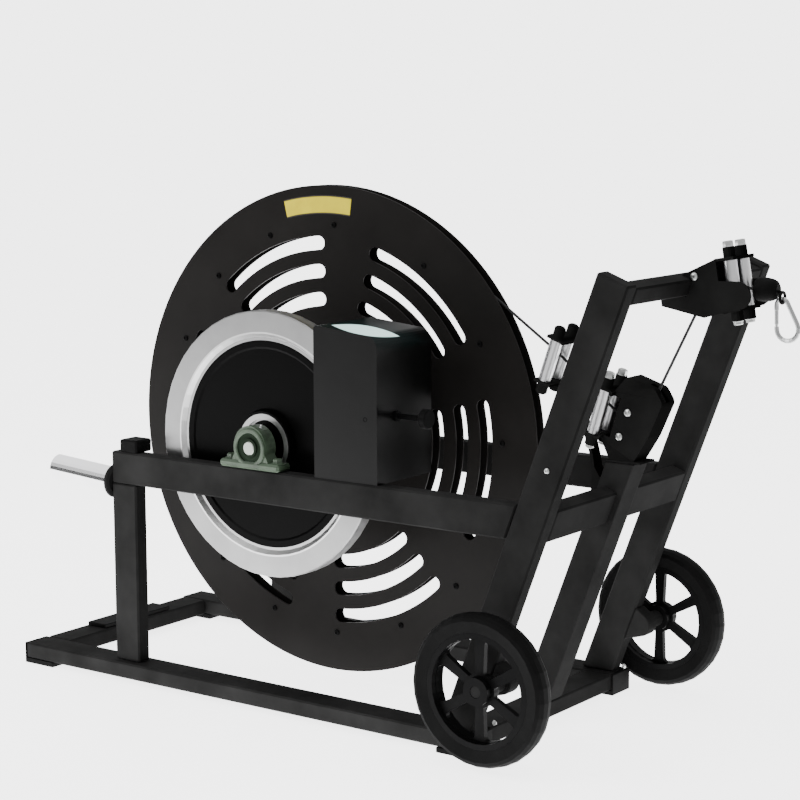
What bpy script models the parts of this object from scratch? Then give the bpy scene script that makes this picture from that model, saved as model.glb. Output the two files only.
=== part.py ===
"""Sprint resistance trainer.

A rope spool and a magnetically braked flywheel turn on one axle, in a frame of flat tube.
The rope leaves the top of the spool, passes three roller guides and two pulleys, and ends
in a rubber stopper and a snap hook. Two wheels at the front let the trainer be tipped and moved.

All sizes are in metres. The machine is drawn with X towards the rope's exit, Y across it
with the middle plane at zero, and Z up from the floor.
"""

import math

import bmesh
import bpy
from mathutils import Matrix, Vector

# Clearances
GAP = 0.0003
SPIN_GAP = 0.0003
ROPE_SEAT = 0.0005
ROUND_WIDTH = 0.003
SMALL_ROUND = 0.0015
INTO = 0.001

# Shading
SHARP_ANGLE = math.radians(35.0)
FLAT_END = 0.99

# Base
BASE_REAR = -0.006
BASE_LENGTH = 1.056
BASE_WIDTH = 0.522
BASE_TUBE_WIDTH = 0.060
BASE_TUBE_HEIGHT = 0.030
BASE_LIFT = 0.010
FOOT_LENGTH = 0.075
FOOT_END = 0.004
TUBE_WALL = 0.0025
PAD_LENGTH = 0.192
PAD_WIDTH = 0.048
PAD_THICK = 0.0085

# Upper frame
FRAME_DEPTH = 0.060
FRAME_THIN = 0.030
REAR_POST_X = 0.224
RAIL_BOTTOM = 0.380
LEAN = 0.38
FRONT_POST_X = 1.103
FRONT_POST_TOP = 0.8275
CENTER_POST_SIDE = 0.050
CENTER_POST_X = 1.123
CENTER_POST_TOP = 0.484
CROSS_BAR_SIDE = 0.030
CROSS_BAR_Z = 0.773
BEAM_DROP = 0.004
BUMPER_X = 0.245
BUMPER_LENGTH = 0.042
BUMPER_HEIGHT = 0.024
BUMPER_OVERHANG = 0.014

# Weight horns
HORN_RADIUS = 0.025
HORN_WALL = 0.003
HORN_REACH = 0.154
HORN_TILT = math.radians(4.0)
HORN_BELOW_RAIL_TOP = 0.059
HORN_FLANGE_RADIUS = 0.032
HORN_FLANGE_THICK = 0.006

# Bearings and axle
AXLE_X = 0.561
AXLE_RADIUS = 0.0125
AXLE_END = 0.018
BLOCK_HEIGHT = 0.038
BLOCK_LENGTH = 0.136
BLOCK_WIDTH = 0.038
BLOCK_BASE = 0.014
BLOCK_RADIUS = 0.036
BLOCK_RISE = 0.004
BLOCK_SHOULDER = 0.004
BLOCK_FLARE = 0.006
BLOCK_ROUND = 0.004
BLOCK_BODY_WIDTH = 0.028
BLOCK_BORE = 0.0225
RING_WIDTH = 0.034
RING_COLLAR = 0.0175
RING_INSET = 0.002

# Flywheel
FLYWHEEL_CLEAR = 0.0136
FLYWHEEL_RADIUS = 0.2415
FLYWHEEL_BAND = 0.048
FLYWHEEL_THICK = 0.030
WHEEL_WEB = 0.012
WHEEL_LIP = 0.017
WHEEL_HUB = 0.061
WHEEL_HUB_RIM = 0.014
HUB_RECESS = 0.008
HUB_PROUD = 0.004
BAND_EDGE = 0.002
BAND_BEVEL = 0.007
WEB_SLOPE = 0.004
FLYWHEEL_STEPS = 48

# Spool
SPOOL_RADIUS = 0.456
FLANGE_THICK = 0.003
SPOOL_WIDTH = 0.026
SPOOL_STEPS = 72
SLOT_RADII = (0.246, 0.298, 0.350)
SLOT_WIDTH = 0.026
SLOT_SPAN = math.radians(43.0)
SLOT_CENTERS = (113, 53, -7, -67, -127, 173)
SLOT_POINTS = 6
SLOT_END_STEPS = 3
HUB_RADIUS = 0.040
HUB_SHOULDER = 0.070
HUB_LENGTH = 0.060
DRUM_DEPTH = 0.066
DRUM_WALL = 0.012
DRUM_STEPS = 48

# Rope
ROPE_RADIUS = 0.0025
WIND_DEPTH = 0.035
WIND_PITCH = 0.0057
WIND_LOOPS = 2.5
LOOP_POINTS = 24
TAIL_LENGTH = 0.080
ROPE_STEP = math.radians(12.0)

# Roller guides: middle of the roller pair, lean and roller length
ROLLER_SPREAD = 0.0215
ROLLER_RADIUS = 0.011
JOURNAL_RADIUS = 0.005
JOURNAL_LENGTH = 0.010
GUIDE_PLATE = 0.005
GUIDE_HALF = 0.0345
GUIDE_BEHIND = 0.014
PLATE_INSET = 0.0005
WEB_SET = 0.016
WEB_THICK = 0.004
BOSS_RADIUS = 0.010
BOSS_HEIGHT = 0.016
REAR_GUIDE = (1.049, 0.648, math.radians(19.0), 0.076)
MID_GUIDE = (1.147, 0.5685, math.radians(16.9), 0.080)
TOP_GUIDE = (1.3935, 0.797, math.radians(-9.8), 0.078)
REAR_WINDOW = (-0.010, 0.018)
MID_WINDOW = (0.000, 0.030)
ROPE_GUIDE = (1.052, 0.6575)
ARM_FOOT_X = 1.131
ARM_RADIUS = 0.188
ARM_THICK = 0.006
ARM_WIDTH = 0.026
ARM_END = 0.008
ARM_FOOT_HIGH = 0.446
ARM_FOOT_LOW = 0.396

# Pulleys and their housings
PULLEY_RADIUS = 0.030
PULLEY_GROOVE = 0.021
PULLEY_WIDTH = 0.014
PULLEY_PIN = 0.005
PULLEY_HUB = 0.012
PULLEY_HUB_PROUD = 0.003
PULLEY_LIP = 0.0015
GROOVE_HALF = 0.002
SPACER_WALL = 0.003
MID_PULLEY = (1.202, 0.570)
TOP_PULLEY = (1.360, 0.777)
SHELL_WALL = 0.003
TONGUE = 0.040
LID_REACH = 0.012
MID_FRONT = ((1.200, 0.631), (1.253, 0.614), (1.268, 0.590), (1.241, 0.530))
MID_ROUNDS = (0.006, 0.012, 0.012, 0.020)
MID_STEPS_IN = ((0, 1), (1, 1), (1, 0), (1, 0))
MID_ROOM_REAR = (1.100, 0.600)
ROPE_EXIT = ((1.236, 0.590), (1.275, 0.640))
BOX_HALF = 0.037
BOX_REAR = ((1.266, 0.788), (1.272, 0.755), (1.350, 0.7405))
BOX_ROOM_TOP = 0.806
BOX_NOSE_ROOT = 0.008
NOSE_RADIUS = 0.0225
NOSE_X = 1.410
NOSE_Z = 0.780
ROPE_SLOT = 0.007

# Brake
BRAKE_REAR = 0.705
BRAKE_FRONT = 0.841
BRAKE_OVERHANG = 0.011
BRAKE_WIDTH = 0.160
BRAKE_TOP_REAR = 0.707
BRAKE_TOP_FRONT = 0.694
BRAKE_ROUND = 0.024
BRAKE_EDGE = 0.006
OUTSIDE = 0.050
SPINDLE_Z = 0.554
SPINDLE_RADIUS = 0.005
SPINDLE_TIP = 0.804
KNOB_X = 0.898
KNOB_RADIUS = 0.017
KNOB_LENGTH = 0.014
COLLAR_WALL = 0.004
COLLAR_LENGTH = 0.006
CARRIER_BACK = 0.836
CARRIER_BRIDGE = 0.014
CARRIER_REACH = 0.046
CARRIER_HEIGHT = 0.050
CARRIER_WALL = 0.008
AIR_GAP = 0.002

# Transport wheels
WHEEL_X = 1.093
WHEEL_Z = 0.1375
WHEEL_Y = 0.2988
TYRE_RADIUS = 0.130
TYRE_WIDTH = 0.040
TYRE_CROWN = 0.012
TYRE_POINTS = 7
RIM_RADIUS = 0.098
RIM_INNER = 0.088
RIM_WIDTH = 0.032
SPOKE_THICK = 0.010
SPOKE_AT_RIM = 0.020
SPOKE_AT_HUB = 0.015
SPOKES = 6
WINDOW_ROUND = 0.007
WINDOW_FOOT_ROUND = 0.004
HUB_OUTER = 0.024
HUB_WIDTH = 0.036
STUB_RADIUS = 0.010
STUB_SHOULDER = 0.005
LUG_RADIUS = 0.022
LUG_HALF = 0.031
WHEEL_STEPS = 32

# Stopper and snap hook
STOPPER_REAR = 1.4255
STOPPER_LENGTH = 0.038
STOPPER_RADIUS = 0.0145
STOPPER_Z = 0.789
EYE_RADIUS = 0.009
EYE_WIRE = 0.0025
HOOK_WIRE = 0.004
HOOK_TOP = (1.4705, 0.765, 0.010)
HOOK_BOTTOM = (1.4805, 0.727, 0.019)
HOOK_NOSE = 0.0077
HOOK_HEEL = 0.0038
GATE_GAP = 0.0006
GATE_TAPER = 0.004

# Places that several pieces share
BASE_FRONT = BASE_REAR + BASE_LENGTH
BASE_TOP = BASE_LIFT + BASE_TUBE_HEIGHT
RAIL_Y = (BASE_WIDTH - BASE_TUBE_WIDTH) / 2
RAIL_TOP = RAIL_BOTTOM + FRAME_DEPTH
AXLE_Z = RAIL_TOP + BLOCK_HEIGHT
LEAN_ANGLE = math.atan(LEAN)
ALONG = Vector((math.sin(LEAN_ANGLE), math.cos(LEAN_ANGLE)))
ACROSS = Vector((math.cos(LEAN_ANGLE), -math.sin(LEAN_ANGLE)))
POST_RUN = FRAME_DEPTH / math.cos(LEAN_ANGLE)
SPOOL_INNER = SPOOL_WIDTH / 2 - FLANGE_THICK
WIND_RADIUS = SPOOL_RADIUS - WIND_DEPTH
DRUM_RADIUS = SPOOL_RADIUS - DRUM_DEPTH
PACK_RADIUS = WIND_RADIUS * math.cos(math.pi / LOOP_POINTS) - ROPE_RADIUS - GAP
FLYWHEEL_Y = FRAME_THIN / 2 - RAIL_Y + FLYWHEEL_CLEAR + FLYWHEEL_THICK / 2
BRAKE_NEAR_Y = -RAIL_Y - BRAKE_OVERHANG
BRAKE_FAR_Y = BRAKE_NEAR_Y + BRAKE_WIDTH
MID_HALF = CENTER_POST_SIDE / 2 - TUBE_WALL - GAP
PULLEY_ROPE = PULLEY_GROOVE + ROPE_RADIUS + ROPE_SEAT
SIDES = ((-1, "near"), (1, "far"))
FRONT_X = HOOK_BOTTOM[0] + HOOK_BOTTOM[2] + HOOK_WIRE
BLACK = (0.012, 0.012, 0.013)

parts = bpy.data.collections.new("sprint_resistance_trainer")
cutters = bpy.data.collections.new("cutters")


def clear_scene():
    for obj in list(bpy.data.objects):
        bpy.data.objects.remove(obj, do_unlink=True)
    bpy.context.scene.collection.children.link(parts)
    bpy.context.scene.collection.children.link(cutters)


def finish(obj, colour, roughness, metallic):
    """Give a piece its own material."""
    material = bpy.data.materials.new(obj.name)
    material.use_nodes = True
    shader = material.node_tree.nodes["Principled BSDF"]
    shader.inputs["Base Color"].default_value = (*colour, 1.0)
    shader.inputs["Roughness"].default_value = roughness
    shader.inputs["Metallic"].default_value = metallic
    obj.data.materials.clear()
    obj.data.materials.append(material)
    return obj


def painted(obj):
    return finish(obj, BLACK, 0.45, 0.0)


def chromed(obj):
    return finish(obj, (0.62, 0.63, 0.64), 0.12, 1.0)


def rubber(obj):
    return finish(obj, (0.015, 0.015, 0.015), 0.75, 0.0)


def plastic(obj):
    return finish(obj, (0.02, 0.02, 0.021), 0.5, 0.0)


def machined(obj):
    return finish(obj, (0.6, 0.61, 0.6), 0.3, 1.0)


def corded(obj):
    return finish(obj, (0.03, 0.03, 0.032), 0.8, 0.0)


def from_bmesh(name, bm):
    mesh = bpy.data.meshes.new(name)
    bm.to_mesh(mesh)
    bm.free()
    obj = bpy.data.objects.new(name, mesh)
    parts.objects.link(obj)
    return obj


def box(name, low, high):
    """A box between two corners, with its origin at its middle."""
    low, high = Vector(low), Vector(high)
    bm = bmesh.new()
    bmesh.ops.create_cube(bm, size=1.0)
    bmesh.ops.scale(bm, vec=high - low, verts=bm.verts)
    obj = from_bmesh(name, bm)
    obj.location = (low + high) / 2
    return obj


def rod(name, radius, start, end, steps=24):
    """A cylinder from one point to another."""
    start, end = Vector(start), Vector(end)
    bm = bmesh.new()
    bmesh.ops.create_cone(bm, cap_ends=True, segments=steps, radius1=radius, radius2=radius,
                          depth=(end - start).length)
    for face in bm.faces:
        face.smooth = abs(face.normal.z) < FLAT_END
    obj = from_bmesh(name, bm)
    obj.location = (start + end) / 2
    obj.rotation_euler = (end - start).to_track_quat("Z", "Y").to_euler()
    return obj


def to_mesh(holder, name, flat_ends=True):
    """Replace a curve or a turned profile with a welded mesh, its round faces shaded smooth."""
    bpy.context.view_layer.update()
    graph = bpy.context.evaluated_depsgraph_get()
    mesh = bpy.data.meshes.new_from_object(holder.evaluated_get(graph))
    bm = bmesh.new()
    bm.from_mesh(mesh)
    bmesh.ops.remove_doubles(bm, verts=bm.verts, dist=0.000001)
    bmesh.ops.recalc_face_normals(bm, faces=bm.faces)
    bm.to_mesh(mesh)
    bm.free()
    mesh.shade_smooth()
    mesh.set_sharp_from_angle(angle=SHARP_ANGLE)
    for face in mesh.polygons:
        face.use_smooth = not flat_ends or abs(face.normal.z) < FLAT_END
    obj = bpy.data.objects.new(name, mesh)
    obj.matrix_world = holder.matrix_world.copy()
    parts.objects.link(obj)
    bpy.data.objects.remove(holder, do_unlink=True)
    obj.name = name
    return obj


def plate(name, loops, thickness, y=0.0):
    """Outlines in the XZ plane, outer one first, thickened along Y about the plane y."""
    curve = bpy.data.curves.new(name, "CURVE")
    curve.dimensions = "2D"
    curve.fill_mode = "BOTH"
    curve.extrude = thickness / 2
    for loop in loops:
        spline = curve.splines.new("POLY")
        spline.points.add(len(loop) - 1)
        for point, (x, z) in zip(spline.points, loop):
            point.co = (x, z, 0.0, 1.0)
        spline.use_cyclic_u = True
    holder = bpy.data.objects.new(name + "_outline", curve)
    holder.rotation_euler = (math.pi / 2, 0.0, 0.0)
    holder.location = (0.0, y, 0.0)
    parts.objects.link(holder)
    return to_mesh(holder, name)


def tube(name, points, radius, resolution=2):
    """A round bar along points, with filled ends."""
    curve = bpy.data.curves.new(name, "CURVE")
    curve.dimensions = "3D"
    curve.bevel_depth = radius
    curve.bevel_resolution = resolution
    curve.use_fill_caps = True
    spline = curve.splines.new("POLY")
    spline.points.add(len(points) - 1)
    for point, place in zip(spline.points, points):
        point.co = (*place, 1.0)
    holder = bpy.data.objects.new(name + "_line", curve)
    parts.objects.link(holder)
    return to_mesh(holder, name, flat_ends=False)


def turned(name, profile, steps, closed=True):
    """A profile of (radius, height) turned about local Z, its outer side running top to bottom."""
    bm = bmesh.new()
    corners = [bm.verts.new((radius, 0.0, height)) for radius, height in profile]
    pairs = list(zip(corners, corners[1:]))
    if closed:
        pairs.append((corners[-1], corners[0]))
    for pair in pairs:
        bm.edges.new(pair)
    holder = from_bmesh(name + "_profile", bm)
    screw = holder.modifiers.new("turn", "SCREW")
    screw.angle = math.tau
    screw.steps = steps
    screw.render_steps = steps
    screw.use_merge_vertices = True
    screw.merge_threshold = 0.00001
    return to_mesh(holder, name)


def lay_across(obj, x, y, z):
    """Turn a piece so that its local Z lies along Y, and set its middle."""
    obj.rotation_euler = (-math.pi / 2, 0.0, 0.0)
    obj.location = (x, y, z)
    return obj


def boolean(obj, other, operation):
    """Cut a piece with another, or join the other to it, and keep the other out of the model."""
    modifier = obj.modifiers.new(operation.lower(), "BOOLEAN")
    modifier.operation = operation
    modifier.solver = "EXACT"
    modifier.object = other
    for collection in list(other.users_collection):
        collection.objects.unlink(other)
    cutters.objects.link(other)
    other.hide_render = True
    other.display_type = "WIRE"
    return obj


def cut(obj, *others):
    for other in others:
        boolean(obj, other, "DIFFERENCE")
    return obj


def join(obj, *others):
    for other in others:
        boolean(obj, other, "UNION")
    return obj


def soften(obj, width=ROUND_WIDTH, segments=1):
    bevel = obj.modifiers.new("round", "BEVEL")
    bevel.width = width
    bevel.segments = segments
    bevel.limit_method = "ANGLE"
    bevel.angle_limit = math.radians(50.0)
    bevel.use_clamp_overlap = True
    return obj


def arc(x, z, radius, start, end, count):
    """Points along an arc, both ends included."""
    turns = [start + (end - start) * n / (count - 1) for n in range(count)]
    return [(x + radius * math.cos(t), z + radius * math.sin(t)) for t in turns]


def circle(x, z, radius, count):
    return arc(x, z, radius, 0.0, math.tau, count + 1)[:-1]


def filleted(points, radii, count=4):
    """An outline whose corners are rounded; a radius of zero keeps a corner sharp."""
    outline = []
    for n, corner in enumerate(points):
        corner = Vector(corner)
        back = (Vector(points[n - 1]) - corner).normalized()
        ahead = (Vector(points[(n + 1) % len(points)]) - corner).normalized()
        radius = radii[n]
        if radius == 0.0:
            outline.append(tuple(corner))
            continue
        half = back.angle(ahead) / 2
        center = corner + (back + ahead).normalized() * radius / math.sin(half)
        first = corner + back * radius / math.tan(half) - center
        last = corner + ahead * radius / math.tan(half) - center
        for step in range(count + 1):
            spoke = first.slerp(last, step / count)
            outline.append(tuple(center + spoke * radius / spoke.length))
    return outline


def post_rear(z):
    """X of the leaning front posts' rear face at a height."""
    return FRONT_POST_X + LEAN * (z - RAIL_BOTTOM)


def center_rear(z):
    """X of the center post's rear face at a height."""
    return CENTER_POST_X + LEAN * (z - RAIL_BOTTOM)


def leaning_outline(bottom, top, inset=0.0, reach=0.0):
    """Side view of a front post, level at its foot and square at its top."""
    head = Vector((post_rear(top), top)) - ALONG * inset
    corners = [head + ACROSS * inset, head + ACROSS * (FRAME_DEPTH - inset)]
    feet = [c - ALONG * ((c.y - bottom + reach) / ALONG.y) for c in corners]
    return [tuple(p) for p in (feet[0], corners[0], corners[1], feet[1])]


def guide_matrix(guide):
    """Frame of a roller guide: local Z along its rollers, local X forward."""
    x, z, lean, _ = guide
    return Matrix.Translation((x, 0.0, z)) @ Matrix.Rotation(lean, 4, "Y")


def guide_point(guide, forward, up):
    """World X and Z of a point given in a roller guide's own directions."""
    place = guide_matrix(guide) @ Vector((forward, 0.0, up))
    return (place.x, place.z)


def in_guide(obj, guide):
    """Carry an object modelled in a guide's own directions to its place."""
    obj.matrix_world = guide_matrix(guide) @ obj.matrix_world
    return obj


def place_now(obj):
    bpy.context.view_layer.update()
    return obj


def base_frame():
    inner = BASE_WIDTH / 2 - BASE_TUBE_WIDTH
    for side, tag in SIDES:
        low = side * RAIL_Y - BASE_TUBE_WIDTH / 2
        rail = box("base_rail_" + tag, (BASE_REAR + FOOT_END, low, BASE_LIFT),
                   (BASE_FRONT - FOOT_END, low + BASE_TUBE_WIDTH, BASE_TOP))
        soften(rail)
        cut(rail, box("rail_bore", (BASE_REAR - BASE_LIFT, low + TUBE_WALL, BASE_LIFT + TUBE_WALL),
                      (BASE_FRONT + BASE_LIFT, low + BASE_TUBE_WIDTH - TUBE_WALL,
                       BASE_TOP - TUBE_WALL)))
        painted(rail)
    starts = {"rear": BASE_REAR + FOOT_END, "front": BASE_FRONT - FOOT_END - BASE_TUBE_WIDTH}
    for tag, x in starts.items():
        cross = box("base_cross_" + tag, (x, -inner + GAP, BASE_LIFT),
                    (x + BASE_TUBE_WIDTH, inner - GAP, BASE_TOP))
        soften(cross)
        cut(cross, box("cross_bore", (x + TUBE_WALL, -BASE_WIDTH, BASE_LIFT + TUBE_WALL),
                       (x + BASE_TUBE_WIDTH - TUBE_WALL, BASE_WIDTH, BASE_TOP - TUBE_WALL)))
        painted(cross)
    middle = starts["rear"] + BASE_TUBE_WIDTH / 2
    pad = box("cross_pad", (middle - PAD_WIDTH / 2, -PAD_LENGTH / 2, BASE_TOP + GAP),
              (middle + PAD_WIDTH / 2, PAD_LENGTH / 2, BASE_TOP + PAD_THICK))
    rubber(soften(pad, SMALL_ROUND))


def foot_outline(end, forward):
    """Side view of a rubber foot that wraps the end of a base rail."""
    inside = FOOT_END - GAP
    pad_top = BASE_LIFT - GAP
    steps = [(0, 0), (FOOT_LENGTH, 0), (FOOT_LENGTH, pad_top), (inside, pad_top), (inside, BASE_TOP),
             (0, BASE_TOP)]
    return [(end + forward * x, z) for x, z in steps]


def feet():
    ends = {"rear": (BASE_REAR, 1), "front": (BASE_FRONT, -1)}
    for where, (end, forward) in ends.items():
        for side, tag in SIDES:
            foot = plate(f"foot_{where}_{tag}", [foot_outline(end, forward)],
                         BASE_TUBE_WIDTH, side * RAIL_Y)
            rubber(soften(foot, SMALL_ROUND))


def upper_frame():
    rise = math.hypot(1.0, LEAN)
    for side, tag in SIDES:
        y = side * RAIL_Y
        half = FRAME_THIN / 2
        post = box("rear_post_" + tag, (REAR_POST_X, y - half, BASE_TOP + GAP),
                   (REAR_POST_X + FRAME_DEPTH, y + half, RAIL_BOTTOM - GAP))
        soften(post)
        cut(post, box("post_bore", (REAR_POST_X + TUBE_WALL, y - half + TUBE_WALL, 0.0),
                      (REAR_POST_X + FRAME_DEPTH - TUBE_WALL, y + half - TUBE_WALL, RAIL_TOP)))
        painted(post)
        end = GAP * rise
        rail = plate("top_rail_" + tag,
                     [[(REAR_POST_X, RAIL_BOTTOM), (REAR_POST_X, RAIL_TOP),
                       (post_rear(RAIL_TOP) - end, RAIL_TOP),
                       (post_rear(RAIL_BOTTOM) - end, RAIL_BOTTOM)]], FRAME_THIN, y)
        soften(rail)
        cut(rail, box("rail_bore", (REAR_POST_X + TUBE_WALL, y - half + TUBE_WALL,
                                    RAIL_BOTTOM + TUBE_WALL),
                      (post_rear(RAIL_TOP) + FRAME_DEPTH, y + half - TUBE_WALL, RAIL_TOP - TUBE_WALL)))
        painted(rail)
        front = plate("front_post_" + tag, [leaning_outline(BASE_TOP + GAP, FRONT_POST_TOP)],
                      FRAME_THIN, y)
        soften(front)
        bore = leaning_outline(BASE_TOP, FRONT_POST_TOP, TUBE_WALL, BASE_TOP)
        cut(front, plate("front_bore", [bore], FRAME_THIN - 2 * TUBE_WALL, y))
        painted(front)
        faces = sorted((side * (RAIL_Y + half), side * (RAIL_Y - half - BUMPER_OVERHANG)))
        bumper = box("rail_bumper_" + tag, (BUMPER_X, faces[0], RAIL_TOP + GAP),
                     (BUMPER_X + BUMPER_LENGTH, faces[1], RAIL_TOP + BUMPER_HEIGHT))
        rubber(soften(bumper))


def center_post():
    run = CENTER_POST_SIDE / math.cos(LEAN_ANGLE)
    wall = TUBE_WALL / math.cos(LEAN_ANGLE)
    low, high = BASE_TOP + GAP, CENTER_POST_TOP
    post = plate("center_post", [[(center_rear(low), low), (center_rear(high), high),
                                  (center_rear(high) + run, high), (center_rear(low) + run, low)]],
                 CENTER_POST_SIDE)
    soften(post)
    low, high = 0.0, CENTER_POST_TOP + BASE_TOP
    bore = plate("center_bore", [[(center_rear(low) + wall, low), (center_rear(high) + wall, high),
                                  (center_rear(high) + run - wall, high),
                                  (center_rear(low) + run - wall, low)]],
                 CENTER_POST_SIDE - 2 * TUBE_WALL)
    painted(cut(post, bore))


def flush_outline(bottom, height, depth, inset=0.0):
    """A tube's section, leaning with the front posts and flush with their front faces."""
    corner = Vector((post_rear(bottom) + POST_RUN, bottom)) - ACROSS * inset + ALONG * inset
    tall = ALONG * (height - 2 * inset)
    deep = ACROSS * (depth - 2 * inset)
    return [tuple(p) for p in (corner, corner + tall, corner + tall - deep, corner - deep)]


def cross_members():
    inner = RAIL_Y - FRAME_THIN / 2 - GAP
    middle = CENTER_POST_SIDE / 2 + GAP
    bottom = RAIL_BOTTOM - BEAM_DROP
    for side, tag in SIDES:
        y = side * (inner + middle) / 2
        beam = plate("mid_beam_" + tag, [flush_outline(bottom, FRAME_DEPTH, FRAME_THIN)],
                     inner - middle, y)
        soften(beam)
        bore = flush_outline(bottom, FRAME_DEPTH, FRAME_THIN, TUBE_WALL)
        painted(cut(beam, plate("beam_bore", [bore], inner, y)))
    bar = plate("top_cross_bar", [flush_outline(CROSS_BAR_Z, CROSS_BAR_SIDE, CROSS_BAR_SIDE)],
                2 * inner)
    soften(bar)
    bore = flush_outline(CROSS_BAR_Z, CROSS_BAR_SIDE, CROSS_BAR_SIDE, TUBE_WALL)
    painted(cut(bar, plate("bar_bore", [bore], 3 * inner)))


def weight_horns():
    z = RAIL_TOP - HORN_BELOW_RAIL_TOP
    face = REAR_POST_X - GAP
    along = Vector((-math.cos(HORN_TILT), 0.0, math.sin(HORN_TILT)))
    for side, tag in SIDES:
        root = Vector((face, side * RAIL_Y, z))
        tip = root + along * HORN_REACH
        flange = rod("weight_horn_" + tag, HORN_FLANGE_RADIUS, root,
                     root - Vector((HORN_FLANGE_THICK, 0.0, 0.0)), 24)
        soften(flange, SMALL_ROUND)
        middle = root + along * HORN_FLANGE_THICK / 2
        join(flange, soften(rod("horn_sleeve", HORN_RADIUS, middle, tip), SMALL_ROUND))
        cut(flange, rod("horn_bore", HORN_RADIUS - HORN_WALL, root - along * HORN_RADIUS,
                        tip - along * HORN_WALL))
        chromed(flange)


def pillow_blocks():
    half = BLOCK_LENGTH / 2
    shoulder = BLOCK_RADIUS + BLOCK_SHOULDER
    flare = shoulder + BLOCK_FLARE
    for side, tag in SIDES:
        y = side * RAIL_Y
        foot_low, foot_high = RAIL_TOP + GAP, RAIL_TOP + BLOCK_BASE
        foot = box("pillow_block_" + tag, (AXLE_X - half, y - BLOCK_WIDTH / 2, foot_low),
                   (AXLE_X + half, y + BLOCK_WIDTH / 2, foot_high))
        soften(foot, BLOCK_ROUND)
        crown = arc(AXLE_X, AXLE_Z + BLOCK_RISE, BLOCK_RADIUS, math.radians(-20), math.radians(200), 16)
        body = plate("block_body", [crown + [(AXLE_X - shoulder, foot_high + BLOCK_SHOULDER),
                                             (AXLE_X - flare, foot_low + INTO),
                                             (AXLE_X + flare, foot_low + INTO),
                                             (AXLE_X + shoulder, foot_high + BLOCK_SHOULDER)]],
                     BLOCK_BODY_WIDTH, y)
        join(foot, body)
        cut(foot, rod("block_bore", BLOCK_BORE, (AXLE_X, y - BLOCK_WIDTH, AXLE_Z),
                      (AXLE_X, y + BLOCK_WIDTH, AXLE_Z)))
        finish(foot, (0.16, 0.30, 0.22), 0.45, 0.0)
        outer = BLOCK_BORE - SPIN_GAP
        inner = AXLE_RADIUS + GAP
        race, end = BLOCK_BODY_WIDTH / 2 - RING_INSET, RING_WIDTH / 2
        ring = turned("bearing_ring_" + tag,
                      [(RING_COLLAR, end), (RING_COLLAR, race), (outer, race), (outer, -race),
                       (RING_COLLAR, -race), (RING_COLLAR, -end), (inner, -end), (inner, end)], 24)
        machined(lay_across(ring, AXLE_X, y, AXLE_Z))


def axle():
    reach = RAIL_Y + AXLE_END
    shaft = rod("axle_shaft", AXLE_RADIUS, (AXLE_X, -reach, AXLE_Z), (AXLE_X, reach, AXLE_Z))
    machined(soften(shaft, SMALL_ROUND))


def flywheel():
    half = FLYWHEEL_THICK / 2
    seat = FLYWHEEL_RADIUS - FLYWHEEL_BAND
    shoulder = FLYWHEEL_RADIUS - BAND_EDGE
    lip = half - BAND_BEVEL
    band = turned("flywheel_ring",
                  [(seat + BAND_BEVEL, half), (shoulder, half), (FLYWHEEL_RADIUS, half - BAND_EDGE),
                   (FLYWHEEL_RADIUS, BAND_EDGE - half), (shoulder, -half),
                   (seat + BAND_BEVEL, -half), (seat, -lip), (seat, lip)], FLYWHEEL_STEPS)
    machined(lay_across(band, AXLE_X, FLYWHEEL_Y, AXLE_Z))
    rim = seat - GAP
    web = WHEEL_WEB / 2
    bore = AXLE_RADIUS + GAP
    hub = half + HUB_PROUD
    step = WHEEL_HUB - WHEEL_HUB_RIM
    low, high = WHEEL_HUB + WEB_SLOPE, rim - WHEEL_LIP - WEB_SLOPE
    core = turned("flywheel_core",
                  [(rim - WHEEL_LIP, lip), (rim, lip), (rim, -lip), (rim - WHEEL_LIP, -lip),
                   (high, -web), (low, -web), (WHEEL_HUB, -hub),
                   (step, -hub), (step, HUB_RECESS - hub), (bore, HUB_RECESS - hub),
                   (bore, hub), (WHEEL_HUB, hub), (low, web), (high, web)], FLYWHEEL_STEPS)
    lay_across(core, AXLE_X, FLYWHEEL_Y, AXLE_Z)
    finish(core, (0.006, 0.006, 0.007), 0.35, 0.0)


def slot(radius, center_angle):
    """A round-ended arc slot about the spool's axis."""
    half = SLOT_WIDTH / 2
    span = SLOT_SPAN / 2 - half / radius
    start, end = center_angle - span, center_angle + span
    outer = arc(AXLE_X, AXLE_Z, radius + half, start, end, SLOT_POINTS)
    inner = arc(AXLE_X, AXLE_Z, radius - half, end, start, SLOT_POINTS)
    far = (AXLE_X + radius * math.cos(end), AXLE_Z + radius * math.sin(end))
    near = (AXLE_X + radius * math.cos(start), AXLE_Z + radius * math.sin(start))
    far_end = arc(*far, half, end, end + math.pi, SLOT_END_STEPS + 1)[1:-1]
    near_end = arc(*near, half, start + math.pi, start + math.tau, SLOT_END_STEPS + 1)[1:-1]
    return outer + far_end + inner + near_end


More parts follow.
